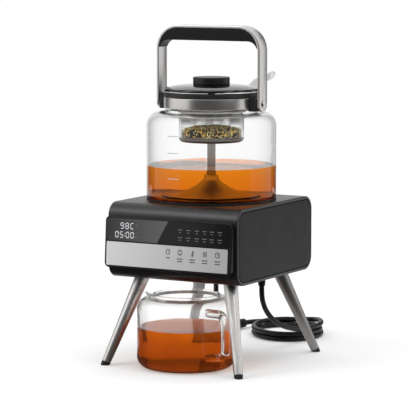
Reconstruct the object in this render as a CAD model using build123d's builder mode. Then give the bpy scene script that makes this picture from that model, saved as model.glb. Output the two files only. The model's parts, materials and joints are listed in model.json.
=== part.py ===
from build123d import *
from math import atan2, cos, degrees, hypot, pi, radians, sin, tan
import os

# Automatic tea maker: a heating base on four splayed legs, a glass kettle with a swinging bail, a lid,
# a leaf infuser on a riser tube, and a glass server that stands under the base and is filled from above.
# Millimetres. Origin on the floor under the kettle's axis, +X to the right, +Y to the back, +Z up.

os.makedirs("parts", exist_ok=True)

# ---------------------------------------------------------------- driving dimensions
fit_gap = 0.1  # clearance between pieces that are assembled and stay put
running_gap = 0.08  # radial clearance of a pin that turns or slides in its hole

# housing
floor_gap = 94.7
body_height = 80.8
body_width = 157.0
body_depth = 171.0
body_corner = 15.0
body_wall = 3.0
body_rim_round = 1.2
end_plate_thickness = 3.2
end_plate_groove = 1.0
end_flange_depth = 4.0
end_flange_thickness = 2.0

# control panel on the front
panel_left = -78.5
panel_right = 75.5
panel_bottom = 107.4
panel_top = 161.7
panel_stand = 4.5  # how far the panel's top edge stands out of the housing
panel_lean = 3.6  # how much further its bottom edge stands out
panel_corner = 5.0
panel_edge = 0.6
glass_bottom = 136.2
glass_margin = 1.6
glass_thickness = 1.2
strip_bottom = 109.7
strip_top = 135.0
strip_left = -76.3
strip_right = 70.9
strip_thickness = 1.4
display_width = 44.0
display_height = 19.0
display_thickness = 2.0
touch_board_thickness = 1.6
touch_side_margin = 12.0
touch_edge_margin = 4.0
panel_window_width = 60.0
panel_window_height = 12.0

# legs: the point where each one meets the underside, and the point where it meets the floor
front_leg_inset = 31.0  # from the body's front face back to the leg's middle
rear_leg_inset = 21.3
front_leg_splay = 33.3  # from the leg's middle at the underside forward to its foot
rear_leg_splay = 31.8
front_leg_top = (53.7, front_leg_inset - body_depth / 2)
rear_leg_top = (48.0, body_depth / 2 - rear_leg_inset)
front_leg_floor = (81.7, front_leg_top[1] - front_leg_splay)
rear_leg_floor = (79.2, rear_leg_top[1] + rear_leg_splay)
leg_top_radius = 7.8
leg_foot_radius = 4.6
leg_wall = 1.4
leg_solid_top = 16.0
foot_length = 3.7
foot_sole_round = 0.7
foot_stem = 8.0
socket_radius = 9.0
socket_height = 11.0
leg_screw_radius = 2.5
leg_screw_depth = 12.0
leg_screw_head_radius = 4.6
leg_screw_head_height = 3.0

# heating plate and what hangs under it
plate_opening_radius = 60.0
plate_flange_radius = 66.0
plate_flange_thickness = 3.0
plate_stand = 0.5  # how far the plate stands above the housing
plate_hole_radius = 12.0
element_radius = 42.0
element_size = 6.0
element_pin_length = 8.0
thermostat_radius = 9.0
thermostat_height = 8.0
thermostat_offset = 24.0
tab_offset = 5.0
tab_width = 6.3
tab_length = 7.0
tab_thickness = 0.8

# drain: socket under the kettle, solenoid, hose, nozzle and the cup that covers the opening below
socket_top_drop = 4.0  # from the plate's top down to the socket's top
socket_outer_radius = 14.0
socket_cavity_radius = 8.0
socket_depth = 26.0
socket_floor = 3.0
barb_radius = 4.0
barb_bore = 2.5
barb_reach = 24.0
barb_height = 7.0  # above the socket's bottom
hose_wall = 1.3
hose_bend = 12.0
hose_overlap = 6.0
nozzle_x = 27.0
nozzle_y = -38.0
nozzle_radius = 2.7
nozzle_bore = 1.7
nozzle_drop = 13.7  # from the underside down to the tip
nozzle_flange_radius = 7.0
nozzle_flange_thickness = 2.0
nozzle_barb_length = 10.0
solenoid_radius = 15.0
solenoid_top_gap = 4.0  # from the solenoid's top up to the socket
pedestal_radius = 17.0
pedestal_height = 10.0
solenoid_pin_radius = 2.5
solenoid_pin_inside = 20.0
valve_travel = 3.0
pin_gap = 0.3
drip_hole_radius = 10.0
drain_cup_radius = 35.0
drain_cup_floor_radius = 25.0
drain_cup_depth = 8.7
drain_cup_wall = 2.0

# boards
board_width = 42.0
board_length = 78.0
relay_place = (-8.0, -22.0)
relay_size = (20.0, 16.0, 15.0)
filter_place = (8.0, -24.0)
filter_size = (10.0, 18.0, 12.0)
transformer_place = (-6.0, 6.0)
transformer_size = (22.0, 24.0, 18.0)
terminals_place = (9.0, 24.0)
terminals_size = (14.0, 14.0, 9.0)
board_thickness = 1.6
board_x = -46.0
board_y = 6.0
post_height = 8.0
post_radius = 3.0
post_inset = 4.0

# kettle
kettle_radius = 70.0
kettle_wall = 2.5
kettle_floor = 3.0
kettle_foot_round = 5.0
kettle_shoulder = 94.0  # height of the shoulder's top above the kettle's underside
kettle_rim = 111.3
neck_radius = 50.0
kettle_shoulder_round = 0.75 * (kettle_radius - neck_radius)  # leaves a flat between shoulder and neck
neck_round = 2.5
base_ring_height = 2.0
base_ring_inner = 63.0
tea_height = 36.4  # tea surface above the kettle's underside
band_thickness = 1.0
band_height = 11.3
band_drop = 1.5  # from the kettle's rim down to the band's top
valve_hole_radius = 9.5
valve_flange_radius = 12.0
valve_flange_thickness = 2.0
valve_nut_radius = 11.2
valve_nut_thickness = 3.0
valve_bore = 4.6
cage_radius = 7.6
cage_height = 10.0
cage_top = 1.6
cage_post = 1.6
plunger_head_radius = 5.8
plunger_head_thickness = 2.0
plunger_stem_radius = 2.2
guide_radius = 1.4
guide_length = 9.6
spring_wire = 0.4
spring_turns = 3.0
spring_radius = 3.6
spout_radius = 4.2
spout_bore = 2.8
spout_route = [(0, 58, 258), (0, 75, 284), (0, 101, 295.5), (0, 143.5, 302.5)]
spout_round = 22.0
spout_tip_slant = 35.0

# bail
pivot_height = 104.0  # above the kettle's underside
pivot_pin_radius = 2.5
pivot_head_radius = 3.3
pivot_head_thickness = 1.5
hinge_block_depth = 17.5
hinge_block_height = 14.5
hinge_block_drop = 8.0  # from the pivot down to the block's underside
hinge_block_outer = 60.0
bail_side_gap = 0.3
bail_thickness = 3.0
bail_width = 17.5
bail_top = 186.2  # above the kettle's underside
bail_corner = 26.0
grip_thickness = 13.0
grip_width = 16.5
grip_end_drop = 8.0  # how far the grip's ends reach below its underside
grip_inner_corner = 12.0

# lid
lid_radius = 52.0
lid_thickness = 4.0  # at its rim
lid_dome = 4.0  # how far its middle stands above the rim
lid_seat_margin = 1.5  # flat glass round the knob
lid_edge_round = 1.6
seal_radius = 50.8
seal_thickness = 2.9
seal_skirt_gap = 0.3  # between the seal's skirt and the kettle's neck
seal_skirt_depth = 1.9
seal_lip_depth = 4.0
seal_lip_width = 3.0
knob_radius = 19.8
knob_height = 8.0
knob_edge = 0.8
knob_stud_radius = 4.0
lid_nut_radius = 8.0
lid_nut_thickness = 3.0

# infuser and riser
infuser_flange_radius = 49.4
infuser_flange_thickness = 0.8
infuser_radius = 36.2
infuser_sheet = 1.1
infuser_skirt = 21.3  # from the kettle's rim down to the skirt's lower edge
bead_height = 6.0
bead_stand = 0.7
cup_wall = 2.0
cup_overlap = 14.0
cup_foot = 66.1  # height of the glass cup's lower edge above the kettle's underside
dish_depth = 4.6
dish_round = 4.0
dish_sheet = 1.0
dish_sleeve = 1.2
mesh_hole_radius = 0.9
mesh_rings = 3
mesh_ring_step = 7.5
hub_radius = 6.5
hub_height = 4.0
leaf_edge_height = 10.0
leaf_crown = 5.0
leaf_crown_round = 6.0
riser_radius = 4.5
riser_wall = 1.1
bell_radius = 46.0
bell_sheet = 1.0
bell_height = 18.0
bell_neck_radius = 7.5
bell_waist = (21.0, 7.5)  # a point on the flare: radius, height above its edge
bell_sleeve = 5.0
bell_lift = 0.3
bell_rim = 1.2

# server
server_x = -0.7
server_y = -53.0
server_radius = 53.0
server_wall = 2.8
server_floor = 3.0
server_foot_round = 12.0
server_shoulder = 76.5
server_shoulder_round = 14.5
server_rim_radius = 36.2
server_rim = 79.0
server_rim_wall = 2.4
server_tea_level = 44.0
handle_angle = -34.3  # from +X, towards the front
handle_rod = 4.5
handle_reach = 92.5
handle_root_top = 64.5  # heights where the rod's two arms meet the wall
handle_root_bottom = 16.5
handle_crest = 68.5
handle_foot = 24.0
handle_top_round = 14.0
handle_foot_round = 10.0
beak_angle = 209.35
beak_reach = 8.5
beak_half_width = 7.0
beak_wall = 1.4
beak_root = 2.6  # half-thickness of the beak where it leaves the wall
beak_drop = 9.0

# mains lead
cord_radius = 2.9
gland_x = 27.8
gland_inset = 21.5  # from the body's back face forward to the gland's middle
gland_y = body_depth / 2 - gland_inset
gland_hole_radius = 4.0
gland_flange_radius = 6.4
gland_flange_thickness = 2.3
gland_root_radius = 5.6
gland_tip_radius = 3.8
gland_length = 20.7
cord_route = [
    (27.8, 64.0, 74.0), (27.8, 64.0, 62.3), (28.3, 68.0, 51.2), (29.4, 75.8, 41.0), (30.8, 87.2, 32.0),
    (32.6, 101.3, 24.8), (34.6, 118.0, 19.2), (37.210, 139.559, 14.5), (41.150, 158.657, 14.5),
]
coil_x = -1.2
coil_y = 182.3
coil_turn = 29.35  # degrees that the oval coil is turned about +Z
coil_short = 39.4  # half-lengths of the oval, at the middle of the cord
coil_long = 54.0
coil_layers = 2
top_layer_start = -50.0  # where the lead lands on the coil, degrees round the oval
top_layer_end = 60.0
tail_stub = 20.5
tail_stub_z = 6.0
tail_route = [
    (-45.537, 219.321, 6.0), (-51.290, 216.086, 6.0), (-56.298, 211.787, 6.0), (-60.368, 206.591, 6.0),
    (-63.343, 200.699, 6.0), (-65.107, 194.339, 6.0),
]
plug_collar_radius = 5.2
plug_collar_length = 6.5
plug_waist_radius = 4.0
plug_waist_length = 2.0
plug_length = 24.0
plug_back_width = 12.0
plug_front_width = 22.0
plug_height = 12.0
plug_pin_radius = 2.0
plug_pin_length = 19.0
plug_pin_spacing = 9.5  # from the plug's middle to each pin

# ---------------------------------------------------------------- places worked out from them
body_mid_z = floor_gap + body_height / 2
body_top = floor_gap + body_height
body_inner_floor = floor_gap + body_wall
body_inner_top = body_top - body_wall
body_front = -body_depth / 2
body_end = body_width / 2
end_flange_x = body_end - end_plate_thickness

plate_top = body_top + plate_stand
plate_underside = body_inner_top - plate_flange_thickness
socket_top = plate_top - socket_top_drop
socket_bottom = socket_top - socket_depth
solenoid_top = socket_bottom - solenoid_top_gap
nozzle_reach = hypot(nozzle_x, nozzle_y)
nozzle_angle = degrees(atan2(nozzle_y, nozzle_x))
barb_z = socket_bottom + barb_height
nozzle_barb_top = body_inner_floor + nozzle_flange_thickness + nozzle_barb_length
hose_inner = barb_radius + 0.05
hose_outer = hose_inner + hose_wall

kettle_bottom = plate_top
kettle_inner_floor = kettle_bottom + kettle_floor
kettle_inner = kettle_radius - kettle_wall
shoulder_z = kettle_bottom + kettle_shoulder
rim_z = kettle_bottom + kettle_rim
neck_inner = neck_radius - kettle_wall
tea_top = kettle_bottom + tea_height
seat_z = kettle_inner_floor + valve_flange_thickness
cage_z = seat_z + cage_height
valve_nut_bottom = kettle_bottom - valve_nut_thickness
plunger_bottom = valve_nut_bottom - 0.6
pin_top = plunger_bottom - pin_gap

pivot_z = kettle_bottom + pivot_height
bail_inner = hinge_block_outer + bail_side_gap
bail_outer = bail_inner + bail_thickness
bail_top_z = kettle_bottom + bail_top
bail_inner_top = bail_top_z - bail_thickness
grip_bottom = bail_inner_top - grip_thickness

flange_top = rim_z + infuser_flange_thickness
seal_top = flange_top + seal_thickness
lid_top = seal_top + lid_thickness
lid_seat = lid_top + lid_dome
infuser_inner = infuser_radius - infuser_sheet
skirt_bottom = rim_z - infuser_skirt
cup_outer = infuser_inner - fit_gap
cup_inner = cup_outer - cup_wall
cup_bottom = kettle_bottom + cup_foot
dish_bottom = cup_bottom - dish_depth
mesh_top = dish_bottom + dish_sheet
sleeve_radius = cup_inner - fit_gap
bell_bottom = kettle_inner_floor + bell_lift
bell_top = bell_bottom + bell_height
riser_top = mesh_top + hub_height
coil_height = coil_layers * 2 * cord_radius
plug_axis_z = tail_route[-1][2]
cord_follow = gland_y - cord_route[0][1]  # how far the lead is carried with the gland


def lathe_face(corners):
    """A closed outline in the XZ plane, from corners given as (radius, height, corner radius)."""
    with BuildSketch(Plane.XZ) as outline:
        with BuildLine():
            FilletPolyline(
                [(r, z) for r, z, _ in corners],
                radius=[corner for _, _, corner in corners],
                close=True,
            )
        make_face()
    return outline.sketch


def finish(part, name):
    """Name one finished piece and write its file."""
    part.label = name
    export_step(part, f"parts/{name}.step")


def body_slab(inset, start, end):
    """The housing's side profile, drawn in by an inset, as a slab between two places along X."""
    with BuildPart() as slab:
        with BuildSketch(Plane.YZ.offset(start)):
            with Locations((0, body_mid_z)):
                RectangleRounded(body_depth - 2 * inset, body_height - 2 * inset, body_corner - inset)
        extrude(amount=end - start)
    return slab.part


def leg_axis(top_xy, floor_xy, side):
    """Where one leg meets the underside and the floor, and its direction upwards."""
    top = Vector(side * top_xy[0], top_xy[1], floor_gap)
    floor = Vector(side * floor_xy[0], floor_xy[1], 0)
    return top, floor, (top - floor).normalized()


legs = {
    "front_left": leg_axis(front_leg_top, front_leg_floor, -1),
    "front_right": leg_axis(front_leg_top, front_leg_floor, 1),
    "rear_left": leg_axis(rear_leg_top, rear_leg_floor, -1),
    "rear_right": leg_axis(rear_leg_top, rear_leg_floor, 1),
}
board_corners = [
    (board_x + sx * (board_width / 2 - post_inset), board_y + sy * (board_length / 2 - post_inset))
    for sx in (-1, 1)
    for sy in (-1, 1)
]

# ---------------------------------------------------------------- housing
panel_height = panel_top - panel_bottom
panel_mid_x = (panel_left + panel_right) / 2
panel_slant = atan2(panel_lean, panel_height)
panel_plane = Plane(
    origin=(panel_mid_x, body_front - panel_stand - panel_lean / 2, (panel_top + panel_bottom) / 2),
    x_dir=(1, 0, 0),
    z_dir=(0, -cos(panel_slant), sin(panel_slant)),
)
panel_mid_z = (panel_top + panel_bottom) / 2
slant_scale = 1 / cos(panel_slant)


def panel_sketch(left, right, bottom, top, corner):
    """A rounded rectangle on the panel's leaning front, from its places across and up."""
    with BuildSketch(panel_plane) as outline:
        with Locations(((left + right) / 2 - panel_mid_x, ((bottom + top) / 2 - panel_mid_z) * slant_scale)):
            RectangleRounded(right - left, (top - bottom) * slant_scale, corner)
    return outline.sketch


window_z = (glass_bottom + panel_top) / 2
with BuildPart() as housing_shell:
    add(body_slab(0, -body_end, body_end))
    fillet(
        housing_shell.faces().sort_by(Axis.X)[0].edges() + housing_shell.faces().sort_by(Axis.X)[-1].edges(),
        body_rim_round,
    )
    add(body_slab(body_wall, -body_end, body_end), mode=Mode.SUBTRACT)
    # a flange inside each end carries the end plate
    for side in (-1, 1):
        flange_start = side * (end_flange_x - end_flange_thickness)
        flange = body_slab(body_wall / 2, flange_start, side * end_flange_x)
        flange_opening = body_slab(body_wall + end_flange_depth, flange_start - side, side * end_flange_x + side)
        add(flange - flange_opening)
    # opening for the heating plate
    with Locations((0, 0, body_inner_top - body_wall)):
        Cylinder(
            plate_opening_radius,
            3 * body_wall,
            align=(Align.CENTER, Align.CENTER, Align.MIN),
            mode=Mode.SUBTRACT,
        )
    # openings in the floor: drips, nozzle and cord gland
    for x, y, radius in (
        (0, 0, drip_hole_radius),
        (nozzle_x, nozzle_y, barb_radius + fit_gap),
        (gland_x, gland_y, gland_hole_radius),
    ):
        with Locations((x, y, floor_gap + body_wall / 2)):
            Cylinder(radius, 3 * body_wall, mode=Mode.SUBTRACT)
    # one slanted hole for each leg's screw
    for top, _, up in legs.values():
        with Locations(Plane(origin=top, z_dir=up)):
            Cylinder(leg_screw_radius + 2 * fit_gap, 6 * body_wall, mode=Mode.SUBTRACT)
    # window behind the display for its leads
    with Locations((panel_mid_x, body_front + body_wall / 2, window_z)):
        Box(panel_window_width, 3 * body_wall, panel_window_height, mode=Mode.SUBTRACT)
    # posts for the control board
    with Locations([(x, y, body_inner_floor) for x, y in board_corners]):
        Cylinder(post_radius, post_height, align=(Align.CENTER, Align.CENTER, Align.MIN))
finish(housing_shell.part, "housing_shell")


def end_plate(side):
    """A plate that closes one end, stepped so that a groove runs round its face."""
    with BuildPart() as plate:
        seat = side * end_flange_x
        add(body_slab(body_wall + fit_gap, seat, seat + side * end_plate_thickness / 2))
        add(body_slab(body_wall + end_plate_groove, seat, seat + side * end_plate_thickness))
        outer_face = plate.faces().sort_by(Axis.X)[-1 if side > 0 else 0]
        fillet(outer_face.edges(), end_plate_groove / 2)
    return plate.part


finish(end_plate(-1), "end_plate_left")
finish(end_plate(1), "end_plate_right")

# ---------------------------------------------------------------- control panel
glass_places = (panel_left + glass_margin, panel_right - glass_margin, glass_bottom, panel_top - glass_margin)
strip_places = (strip_left, strip_right, strip_bottom, strip_top)
display_x = panel_left + glass_margin + display_width / 2 + 4
display_z = (glass_bottom + panel_top - glass_margin) / 2
display_places = (
    display_x - display_width / 2, display_x + display_width / 2,
    display_z - display_height / 2, display_z + display_height / 2,
)
touch_places = (
    strip_left + touch_side_margin, strip_right - touch_side_margin,
    strip_bottom + touch_edge_margin, strip_top - touch_edge_margin,
)
with BuildPart() as panel_frame:
    extrude(
        panel_sketch(panel_left, panel_right, panel_bottom, panel_top, panel_corner),
        amount=-(panel_stand + panel_lean) * 2,
    )
    split(bisect_by=Plane(origin=(0, body_front, 0), z_dir=(0, -1, 0)), keep=Keep.TOP)
    chamfer(panel_frame.faces().sort_by(Axis.Y)[0].edges(), panel_edge)
    extrude(panel_sketch(*glass_places, panel_corner - glass_margin), amount=-glass_thickness, mode=Mode.SUBTRACT)
    extrude(panel_sketch(*strip_places, 1.0), amount=-strip_thickness, mode=Mode.SUBTRACT)
    extrude(
        panel_sketch(*display_places, 1.0),
        amount=-(glass_thickness + display_thickness + fit_gap),
        mode=Mode.SUBTRACT,
    )
    extrude(
        panel_sketch(*touch_places, 1.0),
        amount=-(strip_thickness + touch_board_thickness + fit_gap),
        mode=Mode.SUBTRACT,
    )
finish(panel_frame.part, "panel_frame")


def panel_piece(places, inset, corner, front, thickness):
    """A flat piece let into the panel's front, from a depth behind it."""
    left, right, bottom, top = places
    with BuildPart() as piece:
        face = panel_sketch(left + inset, right - inset, bottom + inset, top - inset, corner)
        extrude(face, amount=-(front + thickness))
        if front > 0:
            extrude(face, amount=-front, mode=Mode.SUBTRACT)
    return piece.part


finish(panel_piece(glass_places, fit_gap, panel_corner - glass_margin, 0, glass_thickness), "panel_glass")
finish(panel_piece(strip_places, fit_gap, 0.9, 0, strip_thickness), "panel_strip")
finish(panel_piece(display_places, fit_gap, 0.9, glass_thickness, display_thickness), "display_module")
finish(panel_piece(touch_places, fit_gap, 0.9, strip_thickness, touch_board_thickness), "touch_board")

# ---------------------------------------------------------------- boards
board_z = body_inner_floor + post_height
with BuildPart() as control_board:
    with Locations((board_x, board_y, board_z + board_thickness / 2)):
        Box(board_width, board_length, board_thickness)
    board_top = board_z + board_thickness
    for place, size in (
        (relay_place, relay_size),
        (filter_place, filter_size),
        (transformer_place, transformer_size),
        (terminals_place, terminals_size),
    ):
        with Locations((board_x + place[0], board_y + place[1], board_top)):
            Box(*size, align=(Align.CENTER, Align.CENTER, Align.MIN))
finish(control_board.part, "control_board")


# ---------------------------------------------------------------- legs
def cone_along(plane_origin, up, start, end, start_radius, end_radius):
    """Two circles across a leg's axis, ready to loft."""
    with BuildPart() as cone:
        with BuildSketch(Plane(origin=plane_origin + up * start, z_dir=up)):
            Circle(start_radius)
        with BuildSketch(Plane(origin=plane_origin + up * end, z_dir=up)):
            Circle(end_radius)
        loft()
    return cone.part


def leg_radius(along, length):
    """A leg's radius at a distance up its axis."""
    return leg_foot_radius + (leg_top_radius - leg_foot_radius) * along / length


for name, (top, floor, up) in legs.items():
    length = (top - floor).length
    over = leg_top_radius  # the cone runs past the underside before it is cut there
    with BuildPart() as leg:
        add(cone_along(floor, up, foot_length, length + over, leg_radius(foot_length, length),
                       leg_radius(length + over, length)))
        add(cone_along(floor, up, foot_length, length - leg_solid_top, leg_radius(foot_length, length) - leg_wall,
                       leg_radius(length - leg_solid_top, length) - leg_wall), mode=Mode.SUBTRACT)
        split(bisect_by=Plane.XY.offset(floor_gap), keep=Keep.BOTTOM)
        with Locations(Plane(origin=top, z_dir=up)):
            Cylinder(leg_screw_radius, 2 * leg_screw_depth, mode=Mode.SUBTRACT)
    finish(leg.part, f"leg_{name}")

    stem_radius = leg_radius(foot_length, length) - leg_wall - fit_gap
    with BuildPart() as foot:
        add(cone_along(floor, up, -leg_foot_radius, foot_length, leg_radius(-leg_foot_radius, length),
                       leg_radius(foot_length, length)))
        add(cone_along(floor, up, foot_length, foot_length + foot_stem, stem_radius, stem_radius))
        split(bisect_by=Plane.XY, keep=Keep.TOP)
        fillet(foot.faces().sort_by(Axis.Z)[0].edges(), foot_sole_round)
    finish(foot.part, f"foot_{name}")

with BuildPart() as leg_sockets:
    for top, _, up in legs.values():
        with Locations(Plane(origin=top, z_dir=up)):
            Cylinder(socket_radius, 2 * socket_height)
            Cylinder(leg_screw_radius + 2 * fit_gap, 3 * socket_height, mode=Mode.SUBTRACT)
    add(body_slab(body_wall, -body_end, body_end), mode=Mode.INTERSECT)
finish(leg_sockets.part, "leg_sockets")

with BuildPart() as leg_screws:
    for top, _, up in legs.values():
        with Locations(Plane(origin=top - up * (leg_screw_depth - 1), z_dir=up)):
            Cylinder(
                leg_screw_radius - fit_gap / 2,
                socket_height + leg_screw_depth - 1,
                align=(Align.CENTER, Align.CENTER, Align.MIN),
            )
        with Locations(Plane(origin=top + up * socket_height, z_dir=up)):
            Cylinder(
                leg_screw_head_radius,
                leg_screw_head_height,
                align=(Align.CENTER, Align.CENTER, Align.MIN),
            )
finish(leg_screws.part, "leg_screws")

# ---------------------------------------------------------------- heating plate and its parts
with BuildPart() as heating_plate:
    revolve(
        lathe_face([
            (plate_hole_radius, plate_underside, 0),
            (plate_flange_radius, plate_underside, 0),
            (plate_flange_radius, body_inner_top, 0),
            (plate_opening_radius - fit_gap, body_inner_top, 0),
            (plate_opening_radius - fit_gap, plate_top, 0.4),
            (plate_hole_radius, plate_top, 0),
        ]),
        axis=Axis.Z,
    )
finish(heating_plate.part, "heating_plate")

with BuildPart() as heating_element:
    revolve(
        lathe_face([
            (element_radius - element_size / 2, plate_underside - element_size, 2.0),
            (element_radius + element_size / 2, plate_underside - element_size, 2.0),
            (element_radius + element_size / 2, plate_underside, 0),
            (element_radius - element_size / 2, plate_underside, 0),
        ]),
        axis=Axis.Z,
    )
    with Locations([(element_radius * cos(radians(a)), element_radius * sin(radians(a)), plate_underside
                     - element_size) for a in (170, 190)]):
        Cylinder(1.6, 2 * element_pin_length)
    split(bisect_by=Plane.XY.offset(plate_underside), keep=Keep.BOTTOM)
finish(heating_element.part, "heating_element")

with BuildPart() as thermostat:
    with Locations((-thermostat_offset, 0, plate_underside - thermostat_height)):
        Cylinder(thermostat_radius, thermostat_height, align=(Align.CENTER, Align.CENTER, Align.MIN))
    with Locations([(-thermostat_offset, y, plate_underside - thermostat_height) for y in (-tab_offset, tab_offset)]):
        Box(tab_thickness, tab_width, tab_length, align=(Align.CENTER, Align.CENTER, Align.MAX))
finish(thermostat.part, "thermostat")

# ---------------------------------------------------------------- drain in the base
barb_plane = Plane(
    origin=(0, 0, barb_z),
    x_dir=(0, 0, 1),
    z_dir=(cos(radians(nozzle_angle)), sin(radians(nozzle_angle)), 0),
)
with BuildPart() as drain_socket:
    revolve(
        lathe_face([
            (solenoid_pin_radius + running_gap, socket_bottom, 0),
            (socket_outer_radius, socket_bottom, 2.0),
            (socket_outer_radius, plate_underside, 0),
            (plate_hole_radius - fit_gap, plate_underside, 0),
            (plate_hole_radius - fit_gap, socket_top, 0),
            (socket_cavity_radius, socket_top, 0),
            (socket_cavity_radius, socket_bottom + socket_floor, 1.0),
            (solenoid_pin_radius + running_gap, socket_bottom + socket_floor, 0),
        ]),
        axis=Axis.Z,
    )
    with BuildSketch(barb_plane.offset(socket_outer_radius - 2)):
        Circle(barb_radius)
    extrude(amount=barb_reach - socket_outer_radius + 2)
    with BuildSketch(barb_plane.offset(socket_cavity_radius / 2)):
        Circle(barb_bore)
    extrude(amount=barb_reach, mode=Mode.SUBTRACT)
finish(drain_socket.part, "drain_socket")

hose_start = barb_reach - hose_overlap
with BuildPart() as drain_hose:
    with BuildLine() as hose_path:
        FilletPolyline(
            barb_plane.from_local_coords((0, 0, hose_start)),
            Vector(nozzle_x, nozzle_y, barb_z),
            Vector(nozzle_x, nozzle_y, nozzle_barb_top - hose_overlap),
            radius=hose_bend,
        )
    with BuildSketch(barb_plane.offset(hose_start)):
        Circle(hose_outer)
        Circle(hose_inner, mode=Mode.SUBTRACT)
    sweep(path=hose_path.line)
finish(drain_hose.part, "drain_hose")

with BuildPart() as nozzle:
    revolve(
        lathe_face([
            (nozzle_bore, floor_gap - nozzle_drop, 0),
            (nozzle_radius, floor_gap - nozzle_drop, 0.4),
            (nozzle_radius, floor_gap, 0),
            (barb_radius, floor_gap, 0),
            (barb_radius, body_inner_floor, 0),
            (nozzle_flange_radius, body_inner_floor, 0),
            (nozzle_flange_radius, body_inner_floor + nozzle_flange_thickness, 0),
            (barb_radius, body_inner_floor + nozzle_flange_thickness, 0),
            (barb_radius, nozzle_barb_top, 0.5),
            (nozzle_bore, nozzle_barb_top, 0),
        ]),
        axis=Axis.Z,
    )
nozzle_part = nozzle.part.moved(Location((nozzle_x, nozzle_y, 0)))
finish(nozzle_part, "nozzle")

with BuildPart() as solenoid:
    revolve(
        lathe_face([
            (0, body_inner_floor, 0),
            (pedestal_radius, body_inner_floor, 0),
            (pedestal_radius, body_inner_floor + pedestal_height, 2.0),
            (solenoid_radius, body_inner_floor + pedestal_height, 0),
            (solenoid_radius, solenoid_top, 1.5),
            (solenoid_pin_radius + running_gap, solenoid_top, 0),
            (solenoid_pin_radius + running_gap, solenoid_top - solenoid_pin_inside - 1, 0),
            (0, solenoid_top - solenoid_pin_inside - 1, 0),
        ]),
        axis=Axis.Z,
    )
finish(solenoid.part, "solenoid")

with BuildPart() as solenoid_pin:
    with Locations((0, 0, solenoid_top - solenoid_pin_inside)):
        Cylinder(
            solenoid_pin_radius,
            pin_top - solenoid_top + solenoid_pin_inside,
            align=(Align.CENTER, Align.CENTER, Align.MIN),
        )
    fillet(solenoid_pin.edges().sort_by(Axis.Z)[-1], 0.6)
finish(solenoid_pin.part, "solenoid_pin")

with BuildPart() as drain_cup:
    revolve(
        lathe_face([
            (0, floor_gap - drain_cup_depth, 0),
            (drain_cup_floor_radius, floor_gap - drain_cup_depth, 3.0),
            (drain_cup_radius, floor_gap - drain_cup_wall, 1.0),
            (drain_cup_radius, floor_gap, 0),
            (drain_cup_radius - 2 * drain_cup_wall, floor_gap, 0),
            (drain_cup_floor_radius, floor_gap - drain_cup_depth + drain_cup_wall, 1.0),
            (0, floor_gap - drain_cup_depth + drain_cup_wall, 0),
        ]),
        axis=Axis.Z,
    )
finish(drain_cup.part, "drain_cup")


# ---------------------------------------------------------------- kettle
def kettle_outer(clearance):
    """The kettle's outer outline up to its shoulder, grown by a clearance."""
    reach = kettle_radius + clearance
    return lathe_face([
        (0, kettle_bottom - clearance, 0),
        (reach, kettle_bottom - clearance, kettle_foot_round + clearance),
        (reach, shoulder_z, kettle_shoulder_round),
        (0, shoulder_z, 0),
    ])


with BuildLine() as spout_path:
    FilletPolyline(spout_route, radius=spout_round)
spout_start = Plane(origin=spout_route[0], z_dir=spout_path.line % 0)
with BuildPart() as spout:
    with BuildSketch(spout_start):
        Circle(spout_radius)
    sweep(path=spout_path.line)
    slant = (0, cos(radians(spout_tip_slant)), -sin(radians(spout_tip_slant)))
    split(bisect_by=Plane(origin=Vector(*spout_route[-1]) - Vector(0, spout_radius, 0), z_dir=slant), keep=Keep.BOTTOM)
with BuildPart() as spout_hollow:
    with BuildSketch(spout_start):
        Circle(spout_bore)
    sweep(path=spout_path.line)

with BuildPart() as kettle_glass:
    revolve(
        lathe_face([
            (valve_hole_radius, kettle_bottom, 0),
            (kettle_radius, kettle_bottom, kettle_foot_round),
            (kettle_radius, shoulder_z, kettle_shoulder_round),
            (neck_radius, shoulder_z, neck_round),
            (neck_radius, rim_z, 0.8),
            (neck_inner, rim_z, 0.8),
            (neck_inner, shoulder_z - kettle_wall, neck_round),
            (kettle_inner, shoulder_z - kettle_wall, kettle_shoulder_round - kettle_wall),
            (kettle_inner, kettle_inner_floor, kettle_foot_round - 1),
            (valve_hole_radius, kettle_inner_floor, 0),
        ]),
        axis=Axis.Z,
    )
    add(spout_hollow.part, mode=Mode.SUBTRACT)
finish(kettle_glass.part, "kettle_glass")

# the pouring spout leaves the back of the shoulder, and its tip is cut on a slant
with BuildPart() as kettle_spout:
    add(spout.part)
    revolve(kettle_outer(0), axis=Axis.Z, mode=Mode.SUBTRACT)
    add(spout_hollow.part, mode=Mode.SUBTRACT)
finish(kettle_spout.part, "kettle_spout")

with BuildPart() as kettle_base_ring:
    revolve(
        lathe_face([
            (base_ring_inner, body_top, 0),
            (kettle_radius, body_top, 0.6),
            (kettle_radius, body_top + base_ring_height, 0),
            (base_ring_inner, body_top + base_ring_height, 0),
        ]),
        axis=Axis.Z,
    )
    revolve(kettle_outer(fit_gap), axis=Axis.Z, mode=Mode.SUBTRACT)
finish(kettle_base_ring.part, "kettle_base_ring")

band_inner = neck_radius + fit_gap / 2
band_outer = band_inner + band_thickness
with BuildPart() as neck_band:
    revolve(
        lathe_face([
            (band_inner, rim_z - band_drop - band_height, 0),
            (band_outer, rim_z - band_drop - band_height, 0.4),
            (band_outer, rim_z - band_drop, 0.4),
            (band_inner, rim_z - band_drop, 0),
        ]),
        axis=Axis.Z,
    )
finish(neck_band.part, "neck_band")


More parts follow.
